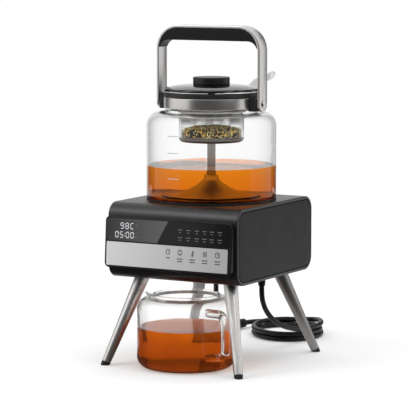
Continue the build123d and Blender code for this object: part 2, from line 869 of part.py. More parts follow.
def hinge_block(side):
    """The plastic block on one side of the band that holds the bail's pivot."""
    bottom = pivot_z - hinge_block_drop
    with BuildPart() as block:
        with BuildSketch(Plane.XY.offset(bottom)):
            with Locations((side * (neck_radius + hinge_block_outer) / 2 - side * 2, 0)):
                Rectangle(hinge_block_outer - neck_radius + 4, hinge_block_depth)
        extrude(amount=hinge_block_height)
        outer = block.faces().sort_by(Axis.X)[-1 if side > 0 else 0]
        fillet(outer.edges(), 1.5)
        with Locations((0, 0, bottom - 1)):
            Cylinder(
                band_outer + fit_gap / 2,
                hinge_block_height + 2,
                align=(Align.CENTER, Align.CENTER, Align.MIN),
                mode=Mode.SUBTRACT,
            )
        with BuildSketch(Plane.YZ.offset(side * hinge_block_outer)):
            with Locations((0, pivot_z)):
                Circle(pivot_pin_radius)
        extrude(amount=-side * (hinge_block_outer - band_outer - 2), mode=Mode.SUBTRACT)
    return block.part


finish(hinge_block(-1), "hinge_block_left")
finish(hinge_block(1), "hinge_block_right")

with BuildPart() as bail_rivets:
    for side in (-1, 1):
        with BuildSketch(Plane.YZ.offset(side * (band_outer + 3))):
            with Locations((0, pivot_z)):
                Circle(pivot_pin_radius)
        extrude(amount=side * (bail_outer + fit_gap - band_outer - 3))
        with BuildSketch(Plane.YZ.offset(side * (bail_outer + fit_gap))):
            with Locations((0, pivot_z)):
                Circle(pivot_head_radius)
        extrude(amount=side * pivot_head_thickness)
    fillet(bail_rivets.faces().sort_by(Axis.X)[0].edges() + bail_rivets.faces().sort_by(Axis.X)[-1].edges(), 0.9)
finish(bail_rivets.part, "bail_rivets")

with BuildPart() as drain_valve:
    revolve(
        lathe_face([
            (valve_bore, valve_nut_bottom, 0),
            (valve_nut_radius, valve_nut_bottom, 0.5),
            (valve_nut_radius, kettle_bottom, 0),
            (valve_hole_radius - fit_gap, kettle_bottom, 0),
            (valve_hole_radius - fit_gap, kettle_inner_floor, 0),
            (valve_flange_radius, kettle_inner_floor, 0),
            (valve_flange_radius, seat_z, 0.5),
            (valve_bore, seat_z, 0),
        ]),
        axis=Axis.Z,
    )
    # a cage above the seat guides the plunger and backs its spring
    with BuildSketch(Plane.XY.offset(cage_z - cage_top)):
        Circle(cage_radius)
        Circle(guide_radius + running_gap, mode=Mode.SUBTRACT)
    extrude(amount=cage_top)
    with BuildSketch(Plane.XY.offset(seat_z)):
        with PolarLocations(cage_radius - cage_post / 2, 3):
            Rectangle(cage_post, cage_post)
    extrude(amount=cage_height - cage_top)
finish(drain_valve.part, "drain_valve")

with BuildPart() as drain_plunger:
    revolve(
        lathe_face([
            (0, plunger_bottom, 0),
            (plunger_stem_radius, plunger_bottom, 0.4),
            (plunger_stem_radius, seat_z, 0),
            (plunger_head_radius, seat_z, 0),
            (plunger_head_radius, seat_z + plunger_head_thickness, 0.6),
            (guide_radius, seat_z + plunger_head_thickness, 0),
            (guide_radius, seat_z + plunger_head_thickness + guide_length, 0.4),
            (0, seat_z + plunger_head_thickness + guide_length, 0),
        ]),
        axis=Axis.Z,
    )
finish(drain_plunger.part, "drain_plunger")

spring_bottom = seat_z + plunger_head_thickness + spring_wire + 0.05
spring_height = cage_z - cage_top - spring_wire - 0.05 - spring_bottom
with BuildPart() as drain_spring:
    with BuildLine() as spring_path:
        Helix(pitch=spring_height / spring_turns, height=spring_height, radius=spring_radius,
              center=(0, 0, spring_bottom))
    with BuildSketch(Plane(origin=spring_path.line @ 0, z_dir=spring_path.line % 0)):
        Circle(spring_wire)
    sweep(path=spring_path.line, is_frenet=True)
finish(drain_spring.part, "drain_spring")

# the tea fills the kettle round the outside of the bell and the riser
tea_inner = riser_radius + fit_gap
with BuildPart() as kettle_tea:
    revolve(
        lathe_face([
            (bell_radius + bell_rim + 1, kettle_inner_floor + fit_gap, 0),
            (kettle_inner - fit_gap, kettle_inner_floor + fit_gap, kettle_foot_round - 1),
            (kettle_inner - fit_gap, tea_top, 0),
            (tea_inner, tea_top, 0),
            (tea_inner, bell_top + bell_sleeve + 1, 0),
            (bell_neck_radius + 2, bell_top + bell_sleeve + 1, 0),
            (bell_neck_radius + 4, bell_top, 0),
            (bell_waist[0] + 3, bell_bottom + bell_waist[1] + 3, 0),
            (bell_radius + bell_rim + 1, bell_bottom + bell_rim + 3, 0),
        ]),
        axis=Axis.Z,
    )
finish(kettle_tea.part, "kettle_tea")


# ---------------------------------------------------------------- bail
def bail_window(half_width, top, corner, bottom):
    """An upright outline with two rounded top corners, on the XZ plane."""
    with BuildSketch(Plane.XZ) as outline:
        with BuildLine():
            FilletPolyline(
                (-half_width, bottom),
                (-half_width, top),
                (half_width, top),
                (half_width, bottom),
                radius=[0, corner, corner, 0],
                close=True,
            )
        make_face()
    return outline.sketch


bail_foot = pivot_z - bail_width / 2
with BuildPart() as bail_strap:
    with BuildSketch(Plane.XZ):
        add(bail_window(bail_outer, bail_top_z, bail_corner, bail_foot))
        add(bail_window(bail_inner, bail_inner_top, bail_corner - bail_thickness, bail_foot - 1), mode=Mode.SUBTRACT)
    extrude(amount=bail_width / 2, both=True)
    # the two ends are rounded about the pivot
    with BuildSketch(Plane.YZ) as side_outline:
        with Locations((0, pivot_z)):
            Circle(bail_width / 2)
        with Locations((0, (pivot_z + bail_top_z) / 2)):
            Rectangle(bail_width, bail_top_z - pivot_z)
    extrude(amount=bail_outer, both=True, mode=Mode.INTERSECT)
    with BuildSketch(Plane.YZ):
        with Locations((0, pivot_z)):
            Circle(pivot_pin_radius + running_gap)
    extrude(amount=bail_outer + 1, both=True, mode=Mode.SUBTRACT)
finish(bail_strap.part, "bail_strap")

with BuildPart() as bail_grip:
    with BuildSketch(Plane.XZ):
        add(bail_window(bail_inner - fit_gap / 2, bail_inner_top - fit_gap / 2, bail_corner - bail_thickness,
                        bail_foot))
        add(bail_window(bail_inner, grip_bottom, grip_inner_corner, bail_foot - 1), mode=Mode.SUBTRACT)
    extrude(amount=grip_width / 2, both=True)
    split(bisect_by=Plane.XY.offset(grip_bottom - grip_end_drop), keep=Keep.TOP)
finish(bail_grip.part, "bail_grip")

# ---------------------------------------------------------------- lid
lid_bore = knob_stud_radius + fit_gap
lid_flat = knob_radius + lid_seat_margin
with BuildPart() as lid_glass:
    with BuildSketch(Plane.XZ) as lid_section:
        with BuildLine():
            Polyline((lid_flat, lid_seat), (lid_bore, lid_seat), (lid_bore, seal_top), (lid_radius, seal_top))
            Line((lid_radius, seal_top), (lid_radius, lid_top))
            TangentArc((lid_flat, lid_seat), (lid_radius, lid_top), tangent=(1, 0))
        make_face()
        fillet(lid_section.vertices().filter_by(lambda corner: corner.X > lid_radius - 0.01), lid_edge_round)
    revolve(axis=Axis.Z)
finish(lid_glass.part, "lid_glass")

lip_outer = infuser_inner - 3 * fit_gap
with BuildPart() as lid_seal:
    revolve(
        lathe_face([
            (knob_stud_radius + fit_gap, flange_top, 0),
            (lip_outer - seal_lip_width, flange_top, 0),
            (lip_outer - seal_lip_width, flange_top - seal_lip_depth, 0),
            (lip_outer, flange_top - seal_lip_depth, 0.8),
            (lip_outer, flange_top, 0),
            (neck_radius + seal_skirt_gap, flange_top, 0),
            (neck_radius + seal_skirt_gap, flange_top - seal_skirt_depth, 0),
            (seal_radius, flange_top - seal_skirt_depth, 0),
            (seal_radius, seal_top, 0.8),
            (knob_stud_radius + fit_gap, seal_top, 0),
        ]),
        axis=Axis.Z,
    )
finish(lid_seal.part, "lid_seal")

with BuildPart() as lid_knob:
    revolve(
        lathe_face([
            (0, flange_top - lid_nut_thickness, 0),
            (knob_stud_radius, flange_top - lid_nut_thickness, 0.5),
            (knob_stud_radius, lid_seat, 0),
            (knob_radius, lid_seat, knob_edge),
            (knob_radius, lid_seat + knob_height, knob_edge),
            (0, lid_seat + knob_height, 0),
        ]),
        axis=Axis.Z,
    )
finish(lid_knob.part, "lid_knob")

with BuildPart() as lid_nut:
    with BuildSketch(Plane.XY.offset(flange_top - lid_nut_thickness)):
        RegularPolygon(lid_nut_radius, 6)
        Circle(knob_stud_radius + fit_gap / 2, mode=Mode.SUBTRACT)
    extrude(amount=lid_nut_thickness)
finish(lid_nut.part, "lid_nut")

# ---------------------------------------------------------------- infuser and riser
with BuildPart() as infuser_ring:
    revolve(
        lathe_face([
            (infuser_inner, skirt_bottom, 0),
            (infuser_radius + bead_stand, skirt_bottom, 0.6),
            (infuser_radius + bead_stand, skirt_bottom + bead_height, 0.6),
            (infuser_radius, skirt_bottom + bead_height, 0),
            (infuser_radius, rim_z, 0),
            (infuser_inner, rim_z, 0),
        ]),
        axis=Axis.Z,
    )
finish(infuser_ring.part, "infuser_ring")

with BuildPart() as infuser_flange:
    revolve(
        lathe_face([
            (infuser_inner, rim_z, 0),
            (infuser_flange_radius, rim_z, 0),
            (infuser_flange_radius, flange_top, 0),
            (infuser_inner, flange_top, 0.4),
        ]),
        axis=Axis.Z,
    )
finish(infuser_flange.part, "infuser_flange")

with BuildPart() as infuser_cup:
    revolve(
        lathe_face([
            (cup_inner, cup_bottom, 0),
            (cup_outer, cup_bottom, 0),
            (cup_outer, skirt_bottom + cup_overlap, 0.5),
            (cup_inner, skirt_bottom + cup_overlap, 0.5),
        ]),
        axis=Axis.Z,
    )
finish(infuser_cup.part, "infuser_cup")

with BuildPart() as infuser_mesh:
    revolve(
        lathe_face([
            (riser_radius + fit_gap / 2, dish_bottom, 0),
            (cup_outer, dish_bottom, dish_round),
            (cup_outer, cup_bottom, 0),
            (sleeve_radius, cup_bottom, 0),
            (sleeve_radius, cup_bottom + dish_sleeve, 0),
            (sleeve_radius - dish_sheet, cup_bottom + dish_sleeve, 0),
            (sleeve_radius - dish_sheet, mesh_top, 1.0),
            (hub_radius, mesh_top, 0),
            (hub_radius, riser_top, 0),
            (riser_radius + fit_gap / 2, riser_top, 0),
        ]),
        axis=Axis.Z,
    )
    for ring in range(1, mesh_rings + 1):
        with BuildSketch(Plane.XY.offset(mesh_top)):
            with PolarLocations(hub_radius + mesh_ring_step * ring - 3, 8 * ring):
                Circle(mesh_hole_radius)
        extrude(amount=-dish_sheet * 2, mode=Mode.SUBTRACT)
finish(infuser_mesh.part, "infuser_mesh")

leaf_radius = sleeve_radius - dish_sheet - fit_gap
with BuildPart() as tea_leaves:
    revolve(
        lathe_face([
            (hub_radius + fit_gap, mesh_top + fit_gap, 0),
            (leaf_radius, mesh_top + fit_gap, 1.2),
            (leaf_radius, mesh_top + leaf_edge_height, 1.5),
            (leaf_radius / 2, mesh_top + leaf_edge_height + leaf_crown * 0.75, leaf_crown_round),
            (0, mesh_top + leaf_edge_height + leaf_crown, 0),
            (0, riser_top + fit_gap, 0),
            (hub_radius + fit_gap, riser_top + fit_gap, 0),
        ]),
        axis=Axis.Z,
    )
finish(tea_leaves.part, "tea_leaves")

with BuildPart() as riser_tube:
    with BuildSketch(Plane.XY.offset(bell_top)):
        Circle(riser_radius)
        Circle(riser_radius - riser_wall, mode=Mode.SUBTRACT)
    extrude(amount=riser_top - bell_top)
finish(riser_tube.part, "riser_tube")

# the bell's flare is one arc, thickened inwards, with a rolled edge and a sleeve for the tube
flare = ThreePointArc(
    (bell_neck_radius, bell_top),
    (bell_waist[0], bell_bottom + bell_waist[1]),
    (bell_radius, bell_bottom + bell_rim),
)
flare_centre = flare.arc_center


def flare_under(point):
    """The point on the underside of the flare opposite a point on its top."""
    return flare_centre + (point - flare_centre) * ((flare.radius + bell_sheet) / flare.radius)


sleeve_inner = riser_radius + fit_gap / 2
stop_inner = riser_radius - riser_wall
with BuildPart() as riser_bell:
    with BuildSketch(Plane.XZ):
        with BuildLine():
            add(flare)
            Line(flare @ 1, flare_under(flare @ 1))
            ThreePointArc(flare_under(flare @ 1), flare_under(flare @ 0.5), flare_under(flare @ 0.2))
            Polyline(
                flare_under(flare @ 0.2),
                (stop_inner, bell_top - 2 * bell_sheet),
                (stop_inner, bell_top),
                (sleeve_inner, bell_top),
                (sleeve_inner, bell_top + bell_sleeve),
                (bell_neck_radius - 1, bell_top + bell_sleeve),
                flare @ 0,
            )
        make_face()
        with Locations((bell_radius, bell_bottom + bell_rim)):
            Circle(bell_rim)
    revolve(axis=Axis.Z)
finish(riser_bell.part, "riser_bell")


# ---------------------------------------------------------------- server
def server_place(angle, reach, z):
    """A point round the server, from its angle, distance from the axis and height."""
    return Vector(reach * cos(radians(angle)), reach * sin(radians(angle)), z)


beak_plane = Plane(
    origin=(0, 0, server_rim),
    x_dir=(sin(radians(beak_angle)), -cos(radians(beak_angle)), 0),
    z_dir=(0, 0, 1),
)
rim_inner = server_rim_radius - server_rim_wall
server_inner = server_radius - server_wall
with BuildPart() as server_hollow:
    revolve(
        lathe_face([
            (0, server_floor, 0),
            (server_inner, server_floor, server_foot_round - server_wall),
            (server_inner, server_shoulder - server_wall, server_shoulder_round - server_wall),
            (rim_inner, server_shoulder - server_wall, 1.0),
            (rim_inner, server_rim + 5, 0),
            (0, server_rim + 5, 0),
        ]),
        axis=Axis.Z,
    )


def beak_shape(inset, bottom, top):
    """A trough that widens upwards out of the rim, drawn in by an inset."""
    with BuildPart() as shape:
        with BuildSketch(beak_plane.offset(bottom)):
            with Locations((0, rim_inner)):
                Ellipse(beak_half_width - inset, beak_root - inset)
        with BuildSketch(beak_plane.offset(top)):
            with Locations((0, rim_inner)):
                Ellipse(beak_half_width - inset, beak_reach + server_rim_wall - inset)
        loft()
    return shape.part


with BuildPart() as server_pot:
    revolve(
        lathe_face([
            (0, 0, 0),
            (server_radius, 0, server_foot_round),
            (server_radius, server_shoulder, server_shoulder_round),
            (server_rim_radius, server_shoulder, 0.5),
            (server_rim_radius, server_rim, 0.8),
            (0, server_rim, 0),
        ]),
        axis=Axis.Z,
    )
    # glass rod handle
    with BuildLine() as handle_path:
        FilletPolyline(
            server_place(handle_angle, server_inner - handle_rod, handle_root_top),
            server_place(handle_angle, handle_reach, handle_crest),
            server_place(handle_angle, handle_reach, handle_foot),
            server_place(handle_angle, server_inner - handle_rod, handle_root_bottom),
            radius=[handle_top_round, handle_foot_round],
        )
    with BuildSketch(Plane(origin=handle_path.line @ 0, z_dir=handle_path.line % 0)):
        Circle(handle_rod)
    sweep(path=handle_path.line)
    add(beak_shape(0, -beak_drop, 1.5))
    add(server_hollow.part, mode=Mode.SUBTRACT)
    add(beak_shape(beak_wall, -beak_drop + 2.7, 2.5), mode=Mode.SUBTRACT)
server_part = server_pot.part.moved(Location((server_x, server_y, 0)))
finish(server_part, "server_pot")

with BuildPart() as server_tea:
    revolve(
        lathe_face([
            (0, server_floor + fit_gap, 0),
            (server_radius - server_wall - fit_gap, server_floor + fit_gap, server_foot_round - server_wall),
            (server_radius - server_wall - fit_gap, server_tea_level, 0),
            (0, server_tea_level, 0),
        ]),
        axis=Axis.Z,
    )
server_tea_part = server_tea.part.moved(Location((server_x, server_y, 0)))
finish(server_tea_part, "server_tea")

# ---------------------------------------------------------------- mains lead
with BuildPart() as cord_gland:
    revolve(
        lathe_face([
            (0, floor_gap - gland_length, 0),
            (gland_tip_radius, floor_gap - gland_length, 0.3),
            (gland_root_radius, floor_gap, 0),
            (gland_hole_radius - fit_gap, floor_gap, 0),
            (gland_hole_radius - fit_gap, body_inner_floor, 0),
            (gland_flange_radius, body_inner_floor, 0),
            (gland_flange_radius, body_inner_floor + gland_flange_thickness, 0.5),
            (0, body_inner_floor + gland_flange_thickness, 0),
        ]),
        axis=Axis.Z,
    )
gland_part = cord_gland.part.moved(Location((gland_x, gland_y, 0)))
finish(gland_part, "cord_gland")


def cord_radii(route):
    """The largest arc at each corner of a route that its two runs leave room for."""
    points = [Vector(*point) for point in route]
    radii = []
    for before, here, after in zip(points, points[1:], points[2:]):
        shorter = min((here - before).length, (after - here).length)
        turn = radians((here - before).get_angle(after - here))
        radii.append(0.45 * shorter / tan(turn / 2))
    return radii


def cord_tube(route, name):
    """A length of cord along straight runs joined by arcs."""
    radii = cord_radii(route)
    with BuildPart() as tube:
        with BuildLine() as path:
            FilletPolyline(route, radius=radii)
        with BuildSketch(Plane(origin=path.line @ 0, z_dir=path.line % 0)):
            Circle(cord_radius)
        sweep(path=path.line)
    length = sum(edge.length for edge in path.edges())
    solid_length = tube.part.volume / (pi * cord_radius**2)
    print(name, "length", round(length, 1), "by volume", round(solid_length, 1), "radii", [round(r, 1) for r in radii])
    finish(tube.part.moved(Location((0, cord_follow, 0))), name)


cord_tube(cord_route, "cord_lead")
cord_tube(tail_route, "cord_tail")


def coil_place(angle, out=0.0):
    """A point on the middle line of the oval coil, and its direction of travel, at an angle round it."""
    turn = radians(coil_turn)
    across = (coil_short + out) * cos(radians(angle))
    along = (coil_long + out) * sin(radians(angle))
    step_across = -(coil_short + out) * sin(radians(angle))
    step_along = (coil_long + out) * cos(radians(angle))
    place = Vector(coil_x + across * cos(turn) - along * sin(turn), coil_y + across * sin(turn) + along * cos(turn), 0)
    travel = Vector(step_across * cos(turn) - step_along * sin(turn), step_across * sin(turn) + step_along * cos(turn), 0)
    return place, travel.normalized()


def coil_ring(bottom, top):
    """The outer shape of the coil's turns between two heights."""
    with BuildPart() as ring:
        with BuildSketch(Plane.XY.offset(bottom)):
            with Locations((coil_x, coil_y)):
                Ellipse(coil_short + cord_radius, coil_long + cord_radius, rotation=coil_turn)
                Ellipse(coil_short - cord_radius, coil_long - cord_radius, rotation=coil_turn, mode=Mode.SUBTRACT)
        extrude(amount=top - bottom)
    return ring.part


landing, landing_travel = coil_place(top_layer_start)
leaving, leaving_travel = coil_place(top_layer_end)
stub_place, stub_travel = coil_place(90)
with BuildPart() as cord_coil:
    add(coil_ring(coil_height, coil_height + 2 * cord_radius))
    split(bisect_by=Plane(origin=landing, z_dir=landing_travel), keep=Keep.TOP)
    split(bisect_by=Plane(origin=leaving, z_dir=leaving_travel), keep=Keep.BOTTOM)
    add(coil_ring(0, coil_height))
    with BuildSketch(Plane(origin=stub_place + Vector(0, 0, tail_stub_z), z_dir=stub_travel)):
        Circle(cord_radius)
    extrude(amount=tail_stub)
finish(cord_coil.part.moved(Location((0, cord_follow, 0))), "cord_coil")
print("coil end", stub_place + stub_travel * tail_stub, "landing", landing, landing_travel)

plug_start = Vector(*tail_route[-1])
plug_travel = Vector(tail_route[-1][0] - tail_route[-2][0], tail_route[-1][1] - tail_route[-2][1], 0).normalized()
plug_plane = Plane(origin=plug_start, x_dir=(-plug_travel.Y, plug_travel.X, 0), z_dir=plug_travel)
plug_body_start = plug_collar_length + plug_waist_length
with BuildPart() as plug_body:
    with BuildSketch(plug_plane):
        Circle(plug_collar_radius)
    extrude(amount=plug_collar_length)
    with BuildSketch(plug_plane.offset(plug_collar_length)):
        Circle(plug_waist_radius)
    extrude(amount=plug_waist_length)
    with BuildSketch(plug_plane.offset(plug_body_start)):
        RectangleRounded(plug_back_width, plug_height - 2, 3)
    with BuildSketch(plug_plane.offset(plug_body_start + plug_length)):
        RectangleRounded(plug_front_width, plug_height, 3)
    loft()
finish(plug_body.part.moved(Location((0, cord_follow, 0))), "plug_body")

with BuildPart() as plug_pins:
    with BuildSketch(plug_plane.offset(plug_body_start + plug_length)):
        with Locations((-plug_pin_spacing, 0), (plug_pin_spacing, 0)):
            Circle(plug_pin_radius)
    extrude(amount=plug_pin_length)
    fillet(plug_pins.edges().group_by(SortBy.DISTANCE)[0], 0.5)
finish(plug_pins.part.moved(Location((0, cord_follow, 0))), "plug_pins")
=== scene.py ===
import json
import math

import bmesh
import bpy
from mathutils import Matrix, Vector


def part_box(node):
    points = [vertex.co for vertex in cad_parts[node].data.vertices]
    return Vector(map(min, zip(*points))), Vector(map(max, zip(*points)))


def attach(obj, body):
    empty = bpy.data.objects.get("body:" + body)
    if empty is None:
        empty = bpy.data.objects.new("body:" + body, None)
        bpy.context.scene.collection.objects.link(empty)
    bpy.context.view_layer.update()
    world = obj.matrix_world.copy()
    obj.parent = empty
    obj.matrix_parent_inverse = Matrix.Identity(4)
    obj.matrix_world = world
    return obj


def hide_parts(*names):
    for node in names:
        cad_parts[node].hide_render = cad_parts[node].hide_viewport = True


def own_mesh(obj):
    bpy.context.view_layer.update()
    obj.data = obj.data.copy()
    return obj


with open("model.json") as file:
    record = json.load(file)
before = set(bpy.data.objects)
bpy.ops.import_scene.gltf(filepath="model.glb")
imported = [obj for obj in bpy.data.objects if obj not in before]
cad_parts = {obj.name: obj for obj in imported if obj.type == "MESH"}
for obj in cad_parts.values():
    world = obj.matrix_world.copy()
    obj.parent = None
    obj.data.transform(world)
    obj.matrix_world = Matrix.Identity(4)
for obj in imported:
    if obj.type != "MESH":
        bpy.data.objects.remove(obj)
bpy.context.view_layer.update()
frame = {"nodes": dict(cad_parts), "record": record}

MM = 0.001


def mm(*places):
    """A point given in millimetres, in metres."""
    return Vector(places) * MM


def placed(name, data):
    """A new object in the scene, from its data."""
    thing = bpy.data.objects.new(name, data)
    bpy.context.scene.collection.objects.link(thing)
    return thing


def mesh_from(name, work):
    """The mesh of a bmesh that is done with."""
    mesh = bpy.data.meshes.new(name)
    work.to_mesh(mesh)
    work.free()
    return mesh


# ------------------------------------------------------------------------------------- camera
CAMERA_AZIMUTH = math.radians(29.35)
CAMERA_PITCH = math.radians(6.60)
CAMERA_PLACE = mm(1213.5, -2165.5, 452.4)
CAMERA_LENS = 200.0
CAMERA_SENSOR = 36.0
CAMERA_SIGHT = 50.0

camera_data = bpy.data.cameras.new("camera")
camera_data.lens = CAMERA_LENS
camera_data.sensor_width = CAMERA_SENSOR
camera_data.clip_end = CAMERA_SIGHT
camera = placed("camera", camera_data)
look = Vector((
    -math.sin(CAMERA_AZIMUTH) * math.cos(CAMERA_PITCH),
    math.cos(CAMERA_AZIMUTH) * math.cos(CAMERA_PITCH),
    -math.sin(CAMERA_PITCH),
))
camera.location = CAMERA_PLACE
camera.rotation_euler = look.to_track_quat("-Z", "Y").to_euler()
bpy.context.scene.camera = camera
bpy.context.scene.view_settings.view_transform = "Standard"


# ------------------------------------------------------------------------------------- shader maths
class Wire:
    """A socket of a node tree. Sums, products and powers of wires add their Math nodes."""

    def __init__(self, tree, socket):
        self.tree = tree
        self.socket = socket

    def maths(self, operation, *values, clamp=False):
        node = self.tree.nodes.new("ShaderNodeMath")
        node.operation = operation
        node.use_clamp = clamp
        for socket, value in zip(node.inputs, values):
            feed(self.tree, socket, value)
        return Wire(self.tree, node.outputs[0])

    def __add__(self, other):
        return self.maths("ADD", self, other)

    def __radd__(self, other):
        return self.maths("ADD", other, self)

    def __sub__(self, other):
        return self.maths("SUBTRACT", self, other)

    def __rsub__(self, other):
        return self.maths("SUBTRACT", other, self)

    def __mul__(self, other):
        return self.maths("MULTIPLY", self, other)

    def __rmul__(self, other):
        return self.maths("MULTIPLY", other, self)

    def __truediv__(self, other):
        return self.maths("DIVIDE", self, other)

    def __rtruediv__(self, other):
        return self.maths("DIVIDE", other, self)

    def __pow__(self, other):
        return self.maths("POWER", self, other)

    def held(self):
        """The value kept between 0 and 1."""
        return self.maths("ADD", self, 0.0, clamp=True)

    def above(self, level):
        """One where the value is above a level, and nothing elsewhere."""
        return self.maths("GREATER_THAN", self, level)

    def lesser(self, other):
        return self.maths("MINIMUM", self, other)

    def greater(self, other):
        return self.maths("MAXIMUM", self, other)


def feed(tree, socket, value):
    """Links a wire to a socket, or sets the socket's own value."""
    if isinstance(value, Wire):
        tree.links.new(value.socket, socket)
    elif socket.type == "RGBA":
        socket.default_value = (*value, 1.0)
    else:
        socket.default_value = value


class Nodes:
    """A node tree that is being built."""

    prefix = "ShaderNode"

    def __init__(self, tree):
        self.tree = tree
        self.tree.nodes.clear()

    def node(self, kind, settings=None, sockets=None, out=0):
        """Adds a node with its settings first, then the values or links of its sockets."""
        whole = kind.startswith(("ShaderNode", "FunctionNode"))
        node = self.tree.nodes.new(kind if whole else self.prefix + kind)
        for key, value in (settings or {}).items():
            setattr(node, key, value)
        for key, value in (sockets or {}).items():
            feed(self.tree, node.inputs[key], value)
        return Wire(self.tree, node.outputs[out])

    def part(self, vector, axis):
        """One part of a vector, by its axis."""
        return self.node("ShaderNodeSeparateXYZ", sockets={"Vector": vector}, out=axis)


class Shades(Nodes):
    """The nodes of a finish or of the world."""

    def blend(self, factor, first, second):
        """A shader between two shaders."""
        return self.node("MixShader", sockets={0: factor, 1: first, 2: second})

    def lit_path(self):
        """One for rays that show the background: straight, mirrored or through glass."""
        straight = self.node("LightPath", out="Is Camera Ray")
        mirrored = self.node("LightPath", out="Is Glossy Ray")
        through = self.node("LightPath", out="Is Transmission Ray")
        return straight.greater(mirrored).greater(through)


# how a pattern is scaled along a piece's axes: a small part gives long lines along that axis
EVEN = (1.0, 1.0, 1.0)
ALONG_X = (0.02, 1.0, 1.0)
ALONG_Z = (1.0, 1.0, 0.02)
ROUND = (0.35, 0.35, 1.0)


class Finish(Shades):
    """A material and the nodes that make it."""

    def __init__(self, name):
        self.material = bpy.data.materials.new(name)
        self.material.use_nodes = True
        super().__init__(self.material.node_tree)
        self.output = self.tree.nodes.new("ShaderNodeOutputMaterial")

    def here(self):
        """The place on the object."""
        return self.node("TexCoord", out="Object")

    def along(self, axis):
        """The place along one of the object's axes."""
        return self.part(self.here(), axis)

    def noise(self, scale, stretch=EVEN, detail=3.0, rough=0.5):
        """A cloudy pattern, stretched along the object's axes."""
        place = self.node("Mapping", sockets={"Vector": self.here(), "Scale": stretch})
        sockets = {"Vector": place, "Scale": scale, "Detail": detail, "Roughness": rough}
        return self.node("TexNoise", sockets=sockets, out="Fac")

    def mix(self, factor, first, second):
        """A colour between two colours, through the Mix node's own sockets for colours."""
        return self.node("Mix", {"data_type": "RGBA"}, {0: factor, 6: first, 7: second}, out=2)

    def edge(self, sharpness):
        """Nothing where the surface faces the eye, and one where it turns away."""
        return self.node("LayerWeight", sockets={"Blend": 0.5}, out="Facing") ** sharpness

    def veil(self, colour):
        """A surface that is looked straight through, in a colour."""
        return self.node("BsdfTransparent", sockets={"Color": colour}, out="BSDF")

    def matt(self, colour):
        return self.node("BsdfDiffuse", sockets={"Color": colour}, out="BSDF")

    def glow(self, colour, strength):
        """Plain light of a colour."""
        return self.node("Emission", sockets={"Color": colour, "Strength": strength})

    def shade_passes(self, shader, colour):
        """The shader, but a shadow ray passes it and takes a colour."""
        shadow = self.node("LightPath", out="Is Shadow Ray")
        return self.blend(shadow, shader, self.veil(colour))

    def bump(self, height, strength, distance):
        sockets = {"Height": height, "Strength": strength, "Distance": distance}
        return self.node("Bump", sockets=sockets, out="Normal")

    def principled(self, **values):
        """A Principled shader, its sockets named in small letters."""
        names = {key.replace("_", " ").title().replace("Ior", "IOR"): value for key, value in values.items()}
        return self.node("BsdfPrincipled", sockets=names, out="BSDF")

    def surface(self, shader):
        """Ends the material in a shader."""
        self.tree.links.new(shader.socket, self.output.inputs["Surface"])
        return self.material


def uneven(pattern, middle, swing):
    """A value that a pattern swings about its middle."""
    return pattern * swing + (middle - swing / 2)


# ------------------------------------------------------------------------------------- finishes
BLACK = (0.0, 0.0, 0.0)
WHITE = (1.0, 1.0, 1.0)

PALER_TIMES = 1.12
PALER_BY = 0.002
CLOUD_SCALE = 35.0
WEAR_SCALE = 60.0
MOULDED_SWING = 0.12
MOULDED_GRAIN_DEPTH = 0.0001
BRUSHED_SWING = 0.16
BRUSHED_LINE_DEPTH = 0.0002
BETWEEN_LINES = 0.86
LINE_DETAIL = 4.0
LINE_ROUGHNESS = 0.6


def moulded(name, colour, roughness, grain=0.05, grain_scale=2500.0, specular=0.5):
    """Moulded plastic, rubber or enamel, with a fine grain and a slight unevenness of tone."""
    finish = Finish(name)
    cloud = finish.noise(CLOUD_SCALE)
    pale = tuple(min(1.0, part * PALER_TIMES + PALER_BY) for part in colour)
    return finish.surface(finish.principled(
        base_color=finish.mix(cloud, colour, pale),
        roughness=uneven(finish.noise(WEAR_SCALE), roughness, MOULDED_SWING),
        specular_ior_level=specular,
        normal=finish.bump(finish.noise(grain_scale, detail=1.0), grain, MOULDED_GRAIN_DEPTH),
    ))


def brushed(name, colour, roughness, stretch, scale, depth):
    """Metal with fine lines along the axis that the stretch draws out."""
    finish = Finish(name)
    lines = finish.noise(scale, stretch, LINE_DETAIL, LINE_ROUGHNESS)
    darker = tuple(part * BETWEEN_LINES for part in colour)
    return finish.surface(finish.principled(
        base_color=finish.mix(lines, darker, colour),
        metallic=1.0,
        roughness=uneven(lines, roughness, BRUSHED_SWING),
        normal=finish.bump(lines, depth, BRUSHED_LINE_DEPTH),
    ))


# a grey streaked band in the cup glass's colour, from a height upwards
GREY_BAND_START = 0.2555
GREY_BAND_RISE = 0.004
GREY_BAND_DARK = (0.30, 0.29, 0.28)
GREY_BAND_PALE = (0.74, 0.735, 0.73)
STREAK_SCALE = 95.0
STREAK_STRETCH = (1.0, 1.0, 0.05)
STREAK_START = 0.38
STREAK_CONTRAST = 4.0


def clear(name, edge, sharpness, colour=(0.985, 0.99, 0.988), ior=1.45, shade=0.85, thin=0.0, greyed=False):
    """Clear glass that takes its edge's colour where it is seen along its wall.

    Shade is the share of the light that its shadow lets through, thin is the share of a straight look
    through it, and the last flag adds a grey streaked band to the glass's colour from a height upwards.
    """
    finish = Finish(name)
    wall = finish.edge(sharpness)
    if greyed:
        rise = ((finish.along("Z") - GREY_BAND_START) / GREY_BAND_RISE).held()
        streaks = (finish.noise(STREAK_SCALE, STREAK_STRETCH, detail=2.0) - STREAK_START) * STREAK_CONTRAST
        grey = finish.mix(streaks.held(), GREY_BAND_DARK, GREY_BAND_PALE)
        colour = finish.mix(rise, colour, grey)
    glass = finish.principled(
        base_color=finish.mix(wall, colour, edge), transmission_weight=1.0, roughness=0.0, ior=ior,
    )
    if thin:
        glass = finish.blend(thin, glass, finish.veil(finish.mix(wall, colour, edge)))
    return finish.surface(finish.shade_passes(glass, (shade, shade, shade)))


